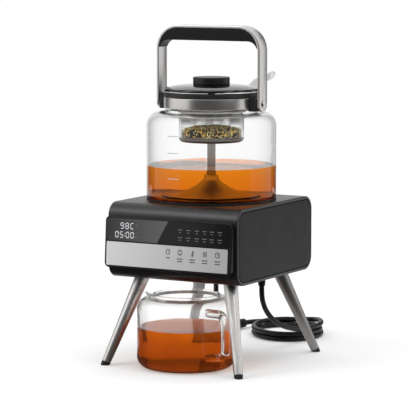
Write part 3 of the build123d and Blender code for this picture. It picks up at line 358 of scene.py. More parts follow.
TEA_SHADE = (0.95, 0.72, 0.45)
TEA_IOR = 1.14
TEA_TOP_SLACK = 0.00005
TEA_CLOUD_SCALE = 28.0
TEA_CLOUD_STRETCH = (1.0, 1.0, 2.5)
TEA_CLOUD_SHARE = 0.25


def brewed(name, deep, pale, dark, sharpness, top, fade):
    """Tea: a clear liquid, paler towards its surface and darker where its side turns away."""
    finish = Finish(name)
    height = finish.along("Z")
    rise = ((height - (top - fade)) / fade).held() ** 2.0
    cloud = finish.noise(TEA_CLOUD_SCALE, TEA_CLOUD_STRETCH)
    paleness = (rise * (1.0 - TEA_CLOUD_SHARE) + cloud * TEA_CLOUD_SHARE).held()
    body = finish.mix(paleness, deep, pale)
    below_surface = 1.0 - (height - (top + TEA_TOP_SLACK)).above(0.0)
    side = (finish.edge(sharpness) * below_surface).held()
    tea = finish.principled(
        base_color=finish.mix(side, body, dark), transmission_weight=1.0, roughness=0.0, ior=TEA_IOR,
    )
    return finish.surface(finish.shade_passes(tea, TEA_SHADE))


PRINT_SCALE = 90.0
PRINT_DIM = 0.93
PRINT_ROUGHNESS = 0.5


def plain(name, colour, glow=0.0):
    """Print or a lit display segment."""
    finish = Finish(name)
    dim = tuple(part * PRINT_DIM for part in colour)
    return finish.surface(finish.principled(
        base_color=finish.mix(finish.noise(PRINT_SCALE), dim, colour),
        roughness=PRINT_ROUGHNESS,
        emission_color=colour,
        emission_strength=glow,
    ))


PANEL_LEFT = -0.076
WINDOW_BLACK = (0.0040, 0.0040, 0.0043)
# painted reflection on the panel's window: a grey over its left part, paler to the right, up to a leaning
# edge
WINDOW_PAINTED_REFLECTION_LEFT = (0.026, 0.026, 0.027)
WINDOW_PAINTED_REFLECTION_RIGHT = (0.120, 0.121, 0.123)
PAINTED_REFLECTION_FOOT = (-0.0144, 0.1365)
PAINTED_REFLECTION_LEAN = 13.3 / 24.0
PAINTED_REFLECTION_LENGTH = 0.075
STRIP_LENGTH = 0.147
# painted shade on the panel's silver strip: lighter at its left end, darker towards its right
STRIP_PAINTED_LIGHT_LEFT = (0.88, 0.88, 0.885)
STRIP_PAINTED_SHADE_RIGHT = (0.54, 0.54, 0.545)
STRIP_LINES_SHARE = 0.12


def window_with_painted_reflection():
    """The panel's black window, with a painted reflection: its left part is grey and grows paler to a leaning
    edge.
    """
    finish = Finish("panel_window")
    across = finish.along("X")
    edge = (finish.along("Z") - PAINTED_REFLECTION_FOOT[1]) * PAINTED_REFLECTION_LEAN + PAINTED_REFLECTION_FOOT[0]
    # the painted reflection lies left of the leaning edge and grows paler to the right
    greyed = (edge - across).above(0.0)
    rightward = ((across - PANEL_LEFT) / PAINTED_REFLECTION_LENGTH).held()
    painted_reflection = finish.mix(rightward, WINDOW_PAINTED_REFLECTION_LEFT, WINDOW_PAINTED_REFLECTION_RIGHT)
    return finish.surface(finish.principled(
        base_color=finish.mix(greyed, WINDOW_BLACK, painted_reflection),
        roughness=uneven(finish.noise(WEAR_SCALE), 0.14, swing=0.04),
        specular_ior_level=0.3,
    ))


def silver_strip():
    """The panel's silver strip, with painted shade that makes it darker to the right."""
    finish = Finish("strip_silver")
    lines = finish.noise(900.0, ALONG_X, LINE_DETAIL, LINE_ROUGHNESS)
    rightward = ((finish.along("X") - PANEL_LEFT) / STRIP_LENGTH).held()
    silver = finish.mix(rightward, STRIP_PAINTED_LIGHT_LEFT, STRIP_PAINTED_SHADE_RIGHT)
    return finish.surface(finish.principled(
        base_color=finish.mix(lines, finish.mix(STRIP_LINES_SHARE, silver, BLACK), silver),
        metallic=0.25,
        roughness=uneven(lines, 0.44, swing=0.12),
        normal=finish.bump(lines, 0.04, BRUSHED_LINE_DEPTH),
    ))


enamel = moulded("housing_enamel", (0.008, 0.008, 0.0085), 0.38, grain=0.08, specular=0.5)
plate_black = moulded("end_plate_black", (0.008, 0.008, 0.0085), 0.46, grain=0.08, specular=0.17)
panel_black = moulded("panel_black", (0.005, 0.005, 0.0055), 0.30, grain=0.02, specular=0.28)
leg_steel = brushed("leg_steel", (0.74, 0.725, 0.71), 0.36, ALONG_Z, scale=700.0, depth=0.06)
# the rear legs: the same brushed steel as the front ones, made darker as painted shade
rear_leg_steel = brushed("rear_leg_steel", (0.31, 0.298, 0.29), 0.36, ALONG_Z, scale=700.0, depth=0.06)
bail_steel = brushed("bail_steel", (0.66, 0.645, 0.63), 0.34, ALONG_Z, scale=800.0, depth=0.05)
band_steel = brushed("band_steel", (0.70, 0.68, 0.66), 0.32, ROUND, scale=600.0, depth=0.04)
ring_steel = brushed("ring_steel", (0.40, 0.39, 0.375), 0.40, ROUND, scale=700.0, depth=0.04)
dish_steel = brushed("dish_steel", (0.17, 0.155, 0.145), 0.42, ROUND, scale=700.0, depth=0.04)
riser_steel = brushed("riser_steel", (0.26, 0.245, 0.23), 0.24, ALONG_Z, scale=700.0, depth=0.03)
bell_steel = brushed("bell_steel", (0.50, 0.46, 0.38), 0.42, ROUND, scale=700.0, depth=0.03)
small_steel = brushed("small_steel", (0.55, 0.55, 0.55), 0.28, ROUND, scale=900.0, depth=0.04)
soft_black = moulded("soft_black", (0.012, 0.012, 0.013), 0.5, grain=0.06, specular=0.4)
grip_black = moulded("grip_black", (0.006, 0.006, 0.0065), 0.44, grain=0.12, specular=0.22)
knob_black = moulded("knob_black", (0.0075, 0.0075, 0.008), 0.40, grain=0.06, specular=0.35)
foot_rubber = moulded("foot_rubber", (0.008, 0.008, 0.008), 0.6, grain=0.1, specular=0.35)
cord_black = moulded("cord_black", (0.0035, 0.0035, 0.0035), 0.42, grain=0.04, specular=0.25)
drain_grey = moulded("drain_grey", (0.42, 0.42, 0.43), 0.5, grain=0.04)
nozzle_black = moulded("nozzle_black", (0.012, 0.012, 0.012), 0.4, grain=0.04)
hose_silicone = moulded("hose_silicone", (0.7, 0.69, 0.66), 0.5, grain=0.03)
board_green = moulded("circuit_board", (0.02, 0.12, 0.06), 0.5, grain=0.1)
pin_brass = brushed("pin_brass", (0.75, 0.66, 0.45), 0.25, ALONG_X, scale=900.0, depth=0.03)
kettle_clear = clear("kettle_glass", edge=(0.12, 0.12, 0.12), sharpness=2.8, ior=1.24, shade=0.95)
spout_clear = clear("spout_glass", edge=(0.30, 0.30, 0.30), sharpness=1.2, colour=(0.86, 0.86, 0.86))
lid_clear = clear(
    "lid_glass", edge=(0.42, 0.43, 0.43), sharpness=4.0, colour=(0.93, 0.95, 0.945), shade=0.97,
)
cup_clear = clear(
    "cup_glass", edge=(0.10, 0.10, 0.10), sharpness=2.4, colour=(0.97, 0.975, 0.975), ior=1.25, shade=0.97,
    greyed=True,
)
server_clear = clear("server_glass", edge=(0.34, 0.33, 0.32), sharpness=4.2, ior=1.24, thin=0.08)
kettle_brew = brewed(
    "kettle_tea", deep=(0.72, 0.150, 0.002), pale=(0.80, 0.27, 0.010), dark=(0.13, 0.016, 0.001),
    sharpness=1.4, top=0.2124, fade=0.03,
)
server_brew = brewed(
    "server_tea", deep=(0.52, 0.072, 0.001), pale=(0.62, 0.15, 0.004), dark=(0.16, 0.016, 0.001),
    sharpness=2.2, top=0.044, fade=0.02,
)
print_white = plain("print_white", (0.60, 0.60, 0.60))
print_grey = plain("print_grey", (0.20, 0.20, 0.205))
print_dark = plain("print_dark", (0.020, 0.020, 0.022))
display_lit = plain("display_lit", (0.86, 0.88, 0.92), glow=0.28)
window_black = window_with_painted_reflection()
strip_silver = silver_strip()

# ------------------------------------------------------------------------------------- the CAD's pieces
MERGE_REACH = 0.000002
SMOOTH_UP_TO = math.radians(32.0)
SOFTENED_FROM = math.radians(60.0)
STRAP_SOFTNESS = 0.0006
KETTLE_TEA_SWELL = 0.00045
SERVER_TEA_SWELL = 0.00025

body_of = {node: body for body, nodes in frame["record"]["behaviour"]["bodies"].items() for node in nodes}


def link(name, mesh, material, body):
    """Puts a finished mesh in the scene on a body."""
    piece = placed(name, mesh)
    mesh.materials.clear()
    mesh.materials.append(material)
    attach(piece, body)
    return piece


def fill(work):
    """Fills a shape out to the convex hull of its corners."""
    bmesh.ops.delete(work, geom=work.faces[:], context="FACES_ONLY")
    bmesh.ops.delete(work, geom=work.edges[:], context="EDGES_FACES")
    hull = bmesh.ops.convex_hull(work, input=work.verts[:])
    inner = {part for part in hull["geom_interior"] if isinstance(part, bmesh.types.BMVert)}
    bmesh.ops.delete(work, geom=list(inner), context="VERTS")
    bmesh.ops.recalc_face_normals(work, faces=work.faces)


def dress(node, material, swell=0.0, filled=False, soft=0.0):
    """A smooth copy of a CAD node, which it stands for.

    A liquid swells a hair into its glass and is filled round what stands in it, and a sheet's edges are
    softened.
    """
    work = bmesh.new()
    work.from_mesh(frame["nodes"][node].data)
    bmesh.ops.remove_doubles(work, verts=work.verts, dist=MERGE_REACH)
    if filled:
        fill(work)
    if soft:
        corners = [edge for edge in work.edges if edge.calc_face_angle(0.0) > SOFTENED_FROM]
        bmesh.ops.bevel(
            work, geom=corners, offset=soft, segments=2, profile=0.5, affect="EDGES", clamp_overlap=True,
        )
    if swell:
        work.normal_update()
        for vertex in work.verts:
            vertex.co += vertex.normal * swell
    for face in work.faces:
        face.smooth = True
    for edge in work.edges:
        edge.smooth = edge.calc_face_angle(0.0) < SMOOTH_UP_TO
    mesh = mesh_from(node + "_finish", work)
    if "custom_normal" in mesh.attributes:
        mesh.attributes.remove(mesh.attributes["custom_normal"])
    piece = link(node + "_finish", mesh, material, body_of[node])
    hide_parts(node)


finish_of = {
    "housing_shell": enamel, "end_plate_left": plate_black, "end_plate_right": plate_black,
    "panel_frame": panel_black, "panel_glass": window_black, "panel_strip": strip_silver,
    "display_module": soft_black, "touch_board": board_green, "control_board": board_green,
    "heating_plate": small_steel, "heating_element": small_steel, "thermostat": small_steel,
    "drain_socket": drain_grey, "solenoid": soft_black,
    "drain_cup": drain_grey, "drain_hose": hose_silicone, "nozzle": nozzle_black,
    "leg_sockets": small_steel, "leg_screws": small_steel, "cord_gland": cord_black,
    "plug_body": cord_black, "plug_pins": pin_brass, "solenoid_pin": small_steel,
    "kettle_glass": kettle_clear, "kettle_spout": spout_clear,
    "kettle_base_ring": soft_black, "neck_band": band_steel,
    "hinge_block_left": soft_black, "hinge_block_right": soft_black, "bail_rivets": bail_steel,
    "drain_valve": small_steel, "drain_spring": small_steel,
    "drain_plunger": small_steel, "bail_strap": bail_steel, "bail_grip": grip_black,
    "lid_glass": lid_clear, "lid_seal": soft_black, "lid_knob": knob_black, "lid_nut": small_steel,
    "infuser_ring": ring_steel, "infuser_flange": ring_steel,
    "infuser_cup": cup_clear, "infuser_mesh": dish_steel,
    "riser_tube": riser_steel, "riser_bell": bell_steel, "server_pot": server_clear,
}
# the rear legs take the darker copy of the leg steel, which is painted shade
for corner in ("front_left", "front_right", "rear_left", "rear_right"):
    finish_of["leg_" + corner] = leg_steel if corner.startswith("front") else rear_leg_steel
    finish_of["foot_" + corner] = foot_rubber
for node, material in finish_of.items():
    dress(node, material, soft=STRAP_SOFTNESS if node == "bail_strap" else 0.0)
dress("kettle_tea", kettle_brew, swell=KETTLE_TEA_SWELL, filled=True)
dress("server_tea", server_brew, swell=SERVER_TEA_SWELL)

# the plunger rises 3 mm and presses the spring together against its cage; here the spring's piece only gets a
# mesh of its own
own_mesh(bpy.data.objects["drain_spring_finish"])

# ------------------------------------------------------------------------------------- mains lead
# places in millimetres, angles round the coil in degrees
CORD_RADIUS = 2.9
CORD_THICKNESS = 2 * CORD_RADIUS
LOWEST_LAYER, MIDDLE_LAYER, TOP_LAYER = CORD_RADIUS, 3 * CORD_RADIUS, 5 * CORD_RADIUS
LEAD_ROUTE = [
    (27.8, 64.0, 74.0), (27.8, 64.0, 62.3), (28.3, 68.0, 51.2), (29.4, 75.8, 41.0), (30.8, 87.2, 32.0),
    (32.6, 101.3, 24.8), (34.6, 118.0, 19.2), (37.210, 139.559, 14.5), (41.150, 158.657, 14.5),
]
TAIL_ROUTE = [
    (-45.537, 219.321, 6.0), (-51.290, 216.086, 6.0), (-56.298, 211.787, 6.0), (-60.368, 206.591, 6.0),
    (-63.343, 200.699, 6.0), (-65.107, 194.339, 6.0),
]
COIL_CENTRE = (-1.2, 182.3)
COIL_TURN = math.radians(29.35)
COIL_SHORT = 39.4
COIL_LONG = 54.0
COIL_START = -50.0
COIL_END = 810.0
COIL_STEP = 20.0
COIL_HEIGHTS = [
    (COIL_START, TOP_LAYER), (15.0, TOP_LAYER), (65.0, MIDDLE_LAYER), (385.0, MIDDLE_LAYER),
    (430.0, LOWEST_LAYER), (COIL_END, LOWEST_LAYER),
]
COIL_INWARD = [
    (COIL_START, 0.0), (345.0, 0.0), (385.0, CORD_THICKNESS), (465.0, CORD_THICKNESS),
    (505.0, 0.0), (COIL_END, 0.0),
]


def stepped(table, angle):
    """The value at an angle, from a list of angles and values, straight between them."""
    for (first, low), (last, high) in zip(table, table[1:]):
        if angle <= last:
            return low + (high - low) * (angle - first) / (last - first)
    return table[-1][1]


def coil_point(angle):
    """A point on the coil's middle line, at an angle round it."""
    turn = math.radians(angle)
    inward = stepped(COIL_INWARD, angle)
    across = (COIL_SHORT - inward) * math.cos(turn)
    along = (COIL_LONG - inward) * math.sin(turn)
    return (
        COIL_CENTRE[0] + across * math.cos(COIL_TURN) - along * math.sin(COIL_TURN),
        COIL_CENTRE[1] + across * math.sin(COIL_TURN) + along * math.cos(COIL_TURN),
        stepped(COIL_HEIGHTS, angle),
    )


coil_steps = int((COIL_END - COIL_START) / COIL_STEP)
coil_points = [coil_point(COIL_START + COIL_STEP * step) for step in range(1, coil_steps + 1)]
cord_points = LEAD_ROUTE + coil_points + TAIL_ROUTE
cord_curve = bpy.data.curves.new("mains_lead", "CURVE")
cord_curve.dimensions = "3D"
cord_curve.bevel_depth = CORD_RADIUS * MM
cord_curve.bevel_resolution = 6
cord_curve.resolution_u = 10
cord_line = cord_curve.splines.new("NURBS")
cord_line.points.add(len(cord_points) - 1)
for spot, point in zip(cord_line.points, cord_points):
    spot.co = (*mm(*point), 1.0)
cord_line.order_u = 3
cord_line.use_endpoint_u = True
cord = placed("mains_lead", cord_curve)
cord_curve.materials.append(cord_black)
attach(cord, "base")
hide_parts("cord_lead", "cord_coil", "cord_tail")


# ------------------------------------------------------------------------------------- repeats
class Growth(Nodes):
    """A Geometry Nodes tree that grows repeated pieces on a mesh."""

    prefix = "GeometryNode"
    kinds = {float: "NodeSocketFloat", int: "NodeSocketInt", bpy.types.Material: "NodeSocketMaterial"}

    def __init__(self, name, **sizes):
        super().__init__(bpy.data.node_groups.new(name, "GeometryNodeTree"))
        face = self.tree.interface
        face.new_socket(name="Base", in_out="INPUT", socket_type="NodeSocketGeometry")
        face.new_socket(name="Result", in_out="OUTPUT", socket_type="NodeSocketGeometry")
        self.names = {key: key.replace("_", " ").capitalize() for key in sizes}
        self.identifiers = {}
        for key, value in sizes.items():
            entry = face.new_socket(name=self.names[key], in_out="INPUT", socket_type=self.kinds[type(value)])
            self.identifiers[key] = entry.identifier
        self.sizes = sizes
        self.inputs = self.tree.nodes.new("NodeGroupInput")
        self.output = self.tree.nodes.new("NodeGroupOutput")
        self.base = Wire(self.tree, self.inputs.outputs["Base"])

    def size(self, key):
        """The wire of a named input."""
        return Wire(self.tree, self.inputs.outputs[self.names[key]])

    def vector(self, x=0.0, y=0.0, z=0.0):
        return self.node("ShaderNodeCombineXYZ", sockets={"X": x, "Y": y, "Z": z})

    def spread(self, low, high, seed):
        """A random number between two, through the Random Value node's own sockets for numbers."""
        return self.node("FunctionNodeRandomValue", {"data_type": "FLOAT"}, {2: low, 3: high, 8: seed}, out=1)

    def end(self, geometry):
        """Realises the copies, gives them their finish and closes the tree."""
        real = self.node("RealizeInstances", sockets={"Geometry": geometry})
        done = self.node("SetMaterial", sockets={"Geometry": real, "Material": self.size("finish")})
        self.tree.links.new(done.socket, self.output.inputs["Result"])

    def grow(self, name, mesh, material, body, **changes):
        """The tree's result on a mesh, as a plain mesh piece."""
        base = placed(name + "_base", mesh)
        modifier = base.modifiers.new("growth", "NODES")
        modifier.node_group = self.tree
        for key, value in {**self.sizes, **changes, "finish": material}.items():
            modifier[self.identifiers[key]] = value
        bpy.context.view_layer.update()
        graph = bpy.context.evaluated_depsgraph_get()
        grown = bpy.data.meshes.new_from_object(base.evaluated_get(graph))
        grown.name = name
        base.modifiers.clear()
        bpy.data.objects.remove(base)
        return link(name, grown, material, body)


# ------------------------------------------------------------------------------------- tea leaves
leaf_low, leaf_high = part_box("tea_leaves")
LEAF_ROOM = 0.0324
LEAF_TOP = leaf_high.z + 0.0010
LEAF_FLOOR = leaf_low.z + 0.0006
LEAVES_PER_SQUARE_METRE = 46000.0
LEAF_FIRST_SEED = 31
LEAF_ROUGHNESS = 0.7
# how the strands differ, each from its least to its most: angles in radians, and shares of the size
LEAF_TURN = (0.0, 6.283)
LEAF_TILT = (-1.2, 1.2)
LEAF_LENGTH = (0.55, 1.25)
LEAF_WIDTH = (0.7, 1.6)
LEAF_CURL = (0.6, 1.2)
LEAF_TAPER = 3.0
NEAREST_REACH = 0.001

leaf_heap = moulded("leaf_heap", (0.020, 0.010, 0.004), 0.9, grain=0.4, grain_scale=600.0, specular=0.05)
dress("tea_leaves", leaf_heap)


def leaf_growth():
    """Curled strands strewn over the heap, none of them past the cup's wall, its floor or the crown."""
    strands = Growth(
        "dry_leaves", leaves_per_square_metre=LEAVES_PER_SQUARE_METRE, strand_length=0.0080,
        strand_radius=0.00050, curl=0.0030, cup_reach=LEAF_ROOM, crown_height=LEAF_TOP, seed=3,
        finish=leaf_heap,
    )
    spots = strands.node("DistributePointsOnFaces", {"distribute_method": "RANDOM"}, {
        "Mesh": strands.base, "Density": strands.size("leaves_per_square_metre"),
        "Seed": strands.size("seed"),
    })
    half = strands.size("strand_length") * 0.5
    spine = strands.node("CurveQuadraticBezier", sockets={
        "Resolution": 5, "Start": strands.vector(x=half * -1.0),
        "Middle": strands.vector(z=strands.size("curl")), "End": strands.vector(x=half),
    })
    along_spine = strands.node("SplineParameter", out="Factor")
    taper = 1.0 - ((along_spine - 0.5) ** 2.0) * LEAF_TAPER
    section = strands.node("CurvePrimitiveCircle", sockets={
        "Resolution": 5, "Radius": strands.size("strand_radius"),
    })
    leaf = strands.node("CurveToMesh", sockets={
        "Curve": spine, "Profile Curve": section, "Scale": taper, "Fill Caps": True,
    })
    turned = strands.vector(
        strands.spread(*LEAF_TURN, seed=21), strands.spread(*LEAF_TILT, seed=22),
        strands.spread(*LEAF_TURN, seed=23),
    )
    leaf_size = strands.vector(
        strands.spread(*LEAF_LENGTH, seed=24), strands.spread(*LEAF_WIDTH, seed=25),
        strands.spread(*LEAF_CURL, seed=26),
    )
    scattered = strands.node("InstanceOnPoints", sockets={
        "Points": spots, "Instance": leaf, "Rotation": turned, "Scale": leaf_size,
    })
    loose = strands.node("RealizeInstances", sockets={"Geometry": scattered})
    spot = strands.node("InputPosition")
    x, y, z = (strands.part(spot, axis) for axis in "XYZ")
    reach = (x * x + y * y) ** 0.5
    drawn_in = (strands.size("cup_reach") / reach.greater(NEAREST_REACH)).lesser(1.0)
    kept = strands.vector(
        x * drawn_in, y * drawn_in, z.lesser(strands.size("crown_height")).greater(LEAF_FLOOR),
    )
    strands.end(strands.node("SetPosition", sockets={"Geometry": loose, "Position": kept}))
    return strands


# each kind of leaf: its colour, its shine, its share of the leaves and its length
LEAF_KINDS = {
    "leaf_gold": ((0.93, 0.58, 0.09), 0.1, 1.7, 0.0070),
    "leaf_straw": ((0.97, 0.80, 0.38), 0.1, 1.6, 0.0062),
    "leaf_brown": ((0.30, 0.12, 0.012), 0.1, 0.4, 0.0085),
    "leaf_dark": ((0.006, 0.004, 0.003), 0.05, 0.35, 0.0085),
}
strands = leaf_growth()
heap_mesh = bpy.data.objects["tea_leaves_finish"].data
for batch, (kind, (colour, shine, share, length)) in enumerate(LEAF_KINDS.items()):
    leaf_finish = moulded(kind, colour, LEAF_ROUGHNESS, grain=0.3, grain_scale=900.0, specular=shine)
    grown = strands.grow(
        f"leaf_strands_{batch}", heap_mesh, leaf_finish, "infuser",
        leaves_per_square_metre=LEAVES_PER_SQUARE_METRE * share, strand_length=length,
        seed=LEAF_FIRST_SEED + batch,
    )

# ------------------------------------------------------------------------------------- print on the panel
# places across and up, and widths, in millimetres
PANEL_TOP = Vector((0.0, -90.0, 161.7))
PANEL_DOWN = Vector((0.0, -3.6, -54.3))
PANEL_OUT = Vector((0.0, PANEL_DOWN.z, -PANEL_DOWN.y)).normalized()
PRINT_ROOT = -0.1
PRINT_PROUD = 0.06


def on_panel(x, height, out=0.0):
    """A place on the panel's leaning face, in metres."""
    share = (PANEL_TOP.z - height) / -PANEL_DOWN.z
    return (PANEL_TOP + PANEL_DOWN * share + Vector((x, 0.0, 0.0)) + PANEL_OUT * out) * MM


def printed(work, corners):
    """A flat patch of print from its corners, a hair proud of the face."""
    root = [work.verts.new(on_panel(x, height, PRINT_ROOT)) for x, height in corners]
    face = [work.verts.new(on_panel(x, height, PRINT_PROUD)) for x, height in corners]
    work.faces.new(root)
    work.faces.new(face)
    for near in range(len(corners)):
        after = (near + 1) % len(corners)
        work.faces.new((root[near], root[after], face[after], face[near]))


def print_piece(name, work, material):
    bmesh.ops.recalc_face_normals(work, faces=work.faces)
    piece = link(name, mesh_from(name, work), material, "base")


def square_to(run, length):
    """A line square to another one, of a length."""
    return Vector((-run.y, run.x)) * length


SEGMENTS = {
    "top": ((0.0, 1.0), (1.0, 1.0)), "middle": ((0.0, 0.5), (1.0, 0.5)), "bottom": ((0.0, 0.0), (1.0, 0.0)),
    "upper_left": ((0.0, 0.5), (0.0, 1.0)), "upper_right": ((1.0, 0.5), (1.0, 1.0)),
    "lower_left": ((0.0, 0.0), (0.0, 0.5)), "lower_right": ((1.0, 0.0), (1.0, 0.5)),
}
LIT = {
    "0": ("top", "bottom", "upper_left", "upper_right", "lower_left", "lower_right"),
    "5": ("top", "middle", "bottom", "upper_left", "lower_right"),
    "8": tuple(SEGMENTS),
    "9": ("top", "middle", "bottom", "upper_left", "upper_right", "lower_right"),
    "C": ("top", "bottom", "upper_left", "lower_left"),
}
SEGMENT_STROKE = 0.66
SEGMENT_GAP = 0.22
FIGURE_HEIGHT = 5.9
# each row of the display: its figures with their left sides, its foot and the figures' width
DISPLAY_ROWS = [
    ((("9", -59.3), ("8", -53.1), ("C", -46.9)), 149.35, 3.5),
    ((("0", -65.5), ("5", -59.8), ("0", -52.4), ("0", -46.7)), 139.8, 3.4),
]
COLON_LEFT, COLON_RIGHT = -54.6, -53.9
COLON_FEET = (141.3, 143.8)
COLON_SIZE = 0.7


def digit(work, figure, left, bottom, width):
    """One figure of the display, from its lit segments."""
    for name in LIT[figure]:
        (x0, z0), (x1, z1) = SEGMENTS[name]
        start = Vector((left + x0 * width, bottom + z0 * FIGURE_HEIGHT))
        end = Vector((left + x1 * width, bottom + z1 * FIGURE_HEIGHT))
        run = (end - start).normalized()
        side = square_to(run, SEGMENT_STROKE / 2)
        tip = run * (SEGMENT_STROKE / 2)
        start = start + run * SEGMENT_GAP
        end = end - run * SEGMENT_GAP
        corners = [start, start + tip - side, end - tip - side, end, end - tip + side, start + tip + side]
        printed(work, [tuple(corner) for corner in corners])


work = bmesh.new()
for figures, foot, width in DISPLAY_ROWS:
    for figure, left in figures:
        digit(work, figure, left, foot, width)
for foot in COLON_FEET:
    head = foot + COLON_SIZE
    printed(work, [(COLON_LEFT, foot), (COLON_RIGHT, foot), (COLON_RIGHT, head), (COLON_LEFT, head)])
print_piece("display_figures", work, display_lit)


def arc(work, x, height, radius, start, end, width=0.75, steps=16):
    """A printed ring or part of one, from its middle, radius and two angles in degrees."""
    count = max(3, round(steps * abs(end - start) / 360))
    inner, outer = radius - width / 2, radius + width / 2
    for step in range(count):
        corners = []
        for turn, size in ((0, inner), (0, outer), (1, outer), (1, inner)):
            angle = math.radians(start + (end - start) * (step + turn) / count)
            corners.append((x + size * math.cos(angle), height + size * math.sin(angle)))
        printed(work, corners)


def stroke_line(work, points, width=0.75):
    """A printed line through points."""
    for first, last in zip(points, points[1:]):
        first, last = Vector(first), Vector(last)
        side = square_to((last - first).normalized(), width / 2)
        printed(work, [tuple(corner) for corner in (first - side, last - side, last + side, first + side)])


SIGN_HEIGHT = 128.3
SIGN_PLACES = (-0.4, 13.9, 29.0, 43.9, 58.9)


def beside(x, *points):
    """Points of a key's sign, from their places beside its middle."""
    return [(x + across, SIGN_HEIGHT + up) for across, up in points]


mode, cycle, heat, steam, clock = SIGN_PLACES
work = bmesh.new()
arc(work, mode, SIGN_HEIGHT, 2.5, 20, 340)
stroke_line(work, beside(mode, (0.0, 0.0), (2.0, 0.0)))
stroke_line(work, beside(mode, (1.2, 1.6), (2.6, 0.9)), 0.7)
arc(work, cycle, SIGN_HEIGHT, 2.4, 100, 250)
arc(work, cycle, SIGN_HEIGHT, 2.4, 280, 430)
stroke_line(work, beside(cycle, (-0.2, 3.2), (0.8, 2.2), (-0.2, 1.4)))
stroke_line(work, beside(cycle, (0.2, -3.2), (-0.8, -2.2), (0.2, -1.4)))
stroke_line(work, beside(heat, (0.0, -1.6), (0.0, 2.8)), 0.9)
arc(work, heat, SIGN_HEIGHT - 2.0, 0.9, 0, 360, width=0.9, steps=10)
for lift in (-0.4, 0.8, 2.0):
    stroke_line(work, beside(heat, (1.1, lift), (2.4, lift)), 0.55)
for shift in (-1.6, 0.0, 1.6):
    stroke_line(work, beside(steam + shift, (0.0, -2.6), (0.6, -1.2), (-0.4, 0.6), (0.3, 2.5)))
arc(work, clock, SIGN_HEIGHT, 2.7, 0, 360)
stroke_line(work, beside(clock, (0.0, 1.7), (0.0, 0.0), (1.2, -0.4)))
print_piece("key_signs", work, print_dark)

# beside the figures: the degree sign with its letter, and a small clock
work = bmesh.new()
arc(work, -40.6, 154.2, 0.45, 0, 360, width=0.3, steps=8)
arc(work, -39.0, 153.4, 0.8, 50, 310, width=0.35, steps=12)
arc(work, -39.8, 140.8, 0.95, 0, 360, width=0.3, steps=12)
stroke_line(work, [(-39.8, 141.5), (-39.8, 140.8), (-39.3, 140.6)], 0.25)
print_piece("display_signs", work, print_grey)

DASH_PITCH = 1.7
DASH_SHARE = 0.8
WINDOW_DASH_HEIGHT = 0.0009
STRIP_DASH_HEIGHT = 0.0011
LABEL_COLUMNS = (13.2, 23.2, 33.5, 42.8, 51.4, 60.9)
# rows of labels: their height and how long each label is
WINDOW_ROWS = ((152.0, 5.2), (149.4, 2.4), (144.0, 5.4), (141.4, 3.0))
STRIP_ROWS = ((121.6, 7.0), (118.9, 6.2))
FIRST_KEY_LABEL = (122.0, 4.6)

dashes = Growth("label_dashes", dash_height=0.00075, dash_depth=0.00016, finish=print_grey)
dash_length = dashes.node("InputNamedAttribute", {"data_type": "FLOAT"}, {"Name": "dash_length"})
dash = dashes.node("MeshCube", sockets={
    "Size": dashes.vector(1.0, dashes.size("dash_depth"), dashes.size("dash_height")),
})
dashes.end(dashes.node("InstanceOnPoints", sockets={
    "Points": dashes.base, "Instance": dash, "Scale": dashes.vector(dash_length, 1.0, 1.0),
}))


def label_row(name, material, labels, height):
    """Rows of short dashes, from the middle, height and length of each label and the dashes' height."""
    spots = []
    lengths = []
    for x, level, total in labels:
        parts = max(1, round(total / DASH_PITCH))
        pitch = total / parts
        for part in range(parts):
            spots.append(on_panel(x - total / 2 + pitch * (part + 0.5), level))
            lengths.append(pitch * DASH_SHARE * MM)
    mesh = bpy.data.meshes.new(name + "_spots")
    mesh.from_pydata(spots, [], [])
    mesh.attributes.new("dash_length", "FLOAT", "POINT").data.foreach_set("value", lengths)
    piece = dashes.grow(name, mesh, material, "base", dash_height=height)


window_labels = [(x, level, length) for level, length in WINDOW_ROWS for x in LABEL_COLUMNS]
strip_labels = [(SIGN_PLACES[0], *FIRST_KEY_LABEL)]
strip_labels += [(x, level, length) for level, length in STRIP_ROWS for x in SIGN_PLACES[1:]]
label_row("window_labels", print_grey, window_labels, WINDOW_DASH_HEIGHT)
label_row("strip_labels", print_dark, strip_labels, STRIP_DASH_HEIGHT)

# ------------------------------------------------------------------------------------- marks on the kettle
MARK_LEVELS = (202.5, 229.5, 247.5)


def mark_growth():
    """A short level line bent round the kettle at each spot's height."""
    marks = Growth(
        "measure_marks", kettle_radius=0.07004, mark_turn=0.205, mark_height=0.0008, middle_turn=-1.682,
        finish=print_white,
    )
    strip = marks.node("MeshGrid", sockets={
        "Size X": marks.size("mark_turn"), "Size Y": marks.size("mark_height"),
        "Vertices X": 9, "Vertices Y": 2,
    })
    upright = marks.node("Transform", sockets={"Geometry": strip, "Rotation": (math.pi / 2, 0.0, 0.0)})
    flat = marks.node("RealizeInstances", sockets={
        "Geometry": marks.node("InstanceOnPoints", sockets={"Points": marks.base, "Instance": upright}),
    })
    spot = marks.node("InputPosition")
    turn = marks.part(spot, "X") + marks.size("middle_turn")
    radius = marks.size("kettle_radius")
    wrapped = marks.vector(
        turn.maths("COSINE", turn) * radius, turn.maths("SINE", turn) * radius, marks.part(spot, "Z"),
    )
    marks.end(marks.node("SetPosition", sockets={"Geometry": flat, "Position": wrapped}))
    return marks


level_spots = bpy.data.meshes.new("mark_levels")
level_spots.from_pydata([mm(0.0, 0.0, height) for height in MARK_LEVELS], [], [])
level_marks = mark_growth().grow("kettle_marks", level_spots, print_white, body_of["kettle_glass"])

# ------------------------------------------------------------------------------------- floor and light
FLOOR_HALF = 30.0
FLOOR_DROP = 0.0002
FLOOR_SHOWN = (0.86, 0.86, 0.86)
FLOOR_DULL = (0.50, 0.50, 0.50)
FLOOR_GLOW = 0.16
FLOOR_FADE_START = 0.35
FLOOR_FADE = 1.1
CARD_GREY = (0.055, 0.054, 0.052)
LIT_WORLD = 0.72
LIGHT_TARGET = Vector((0.0, 0.0, 0.17))


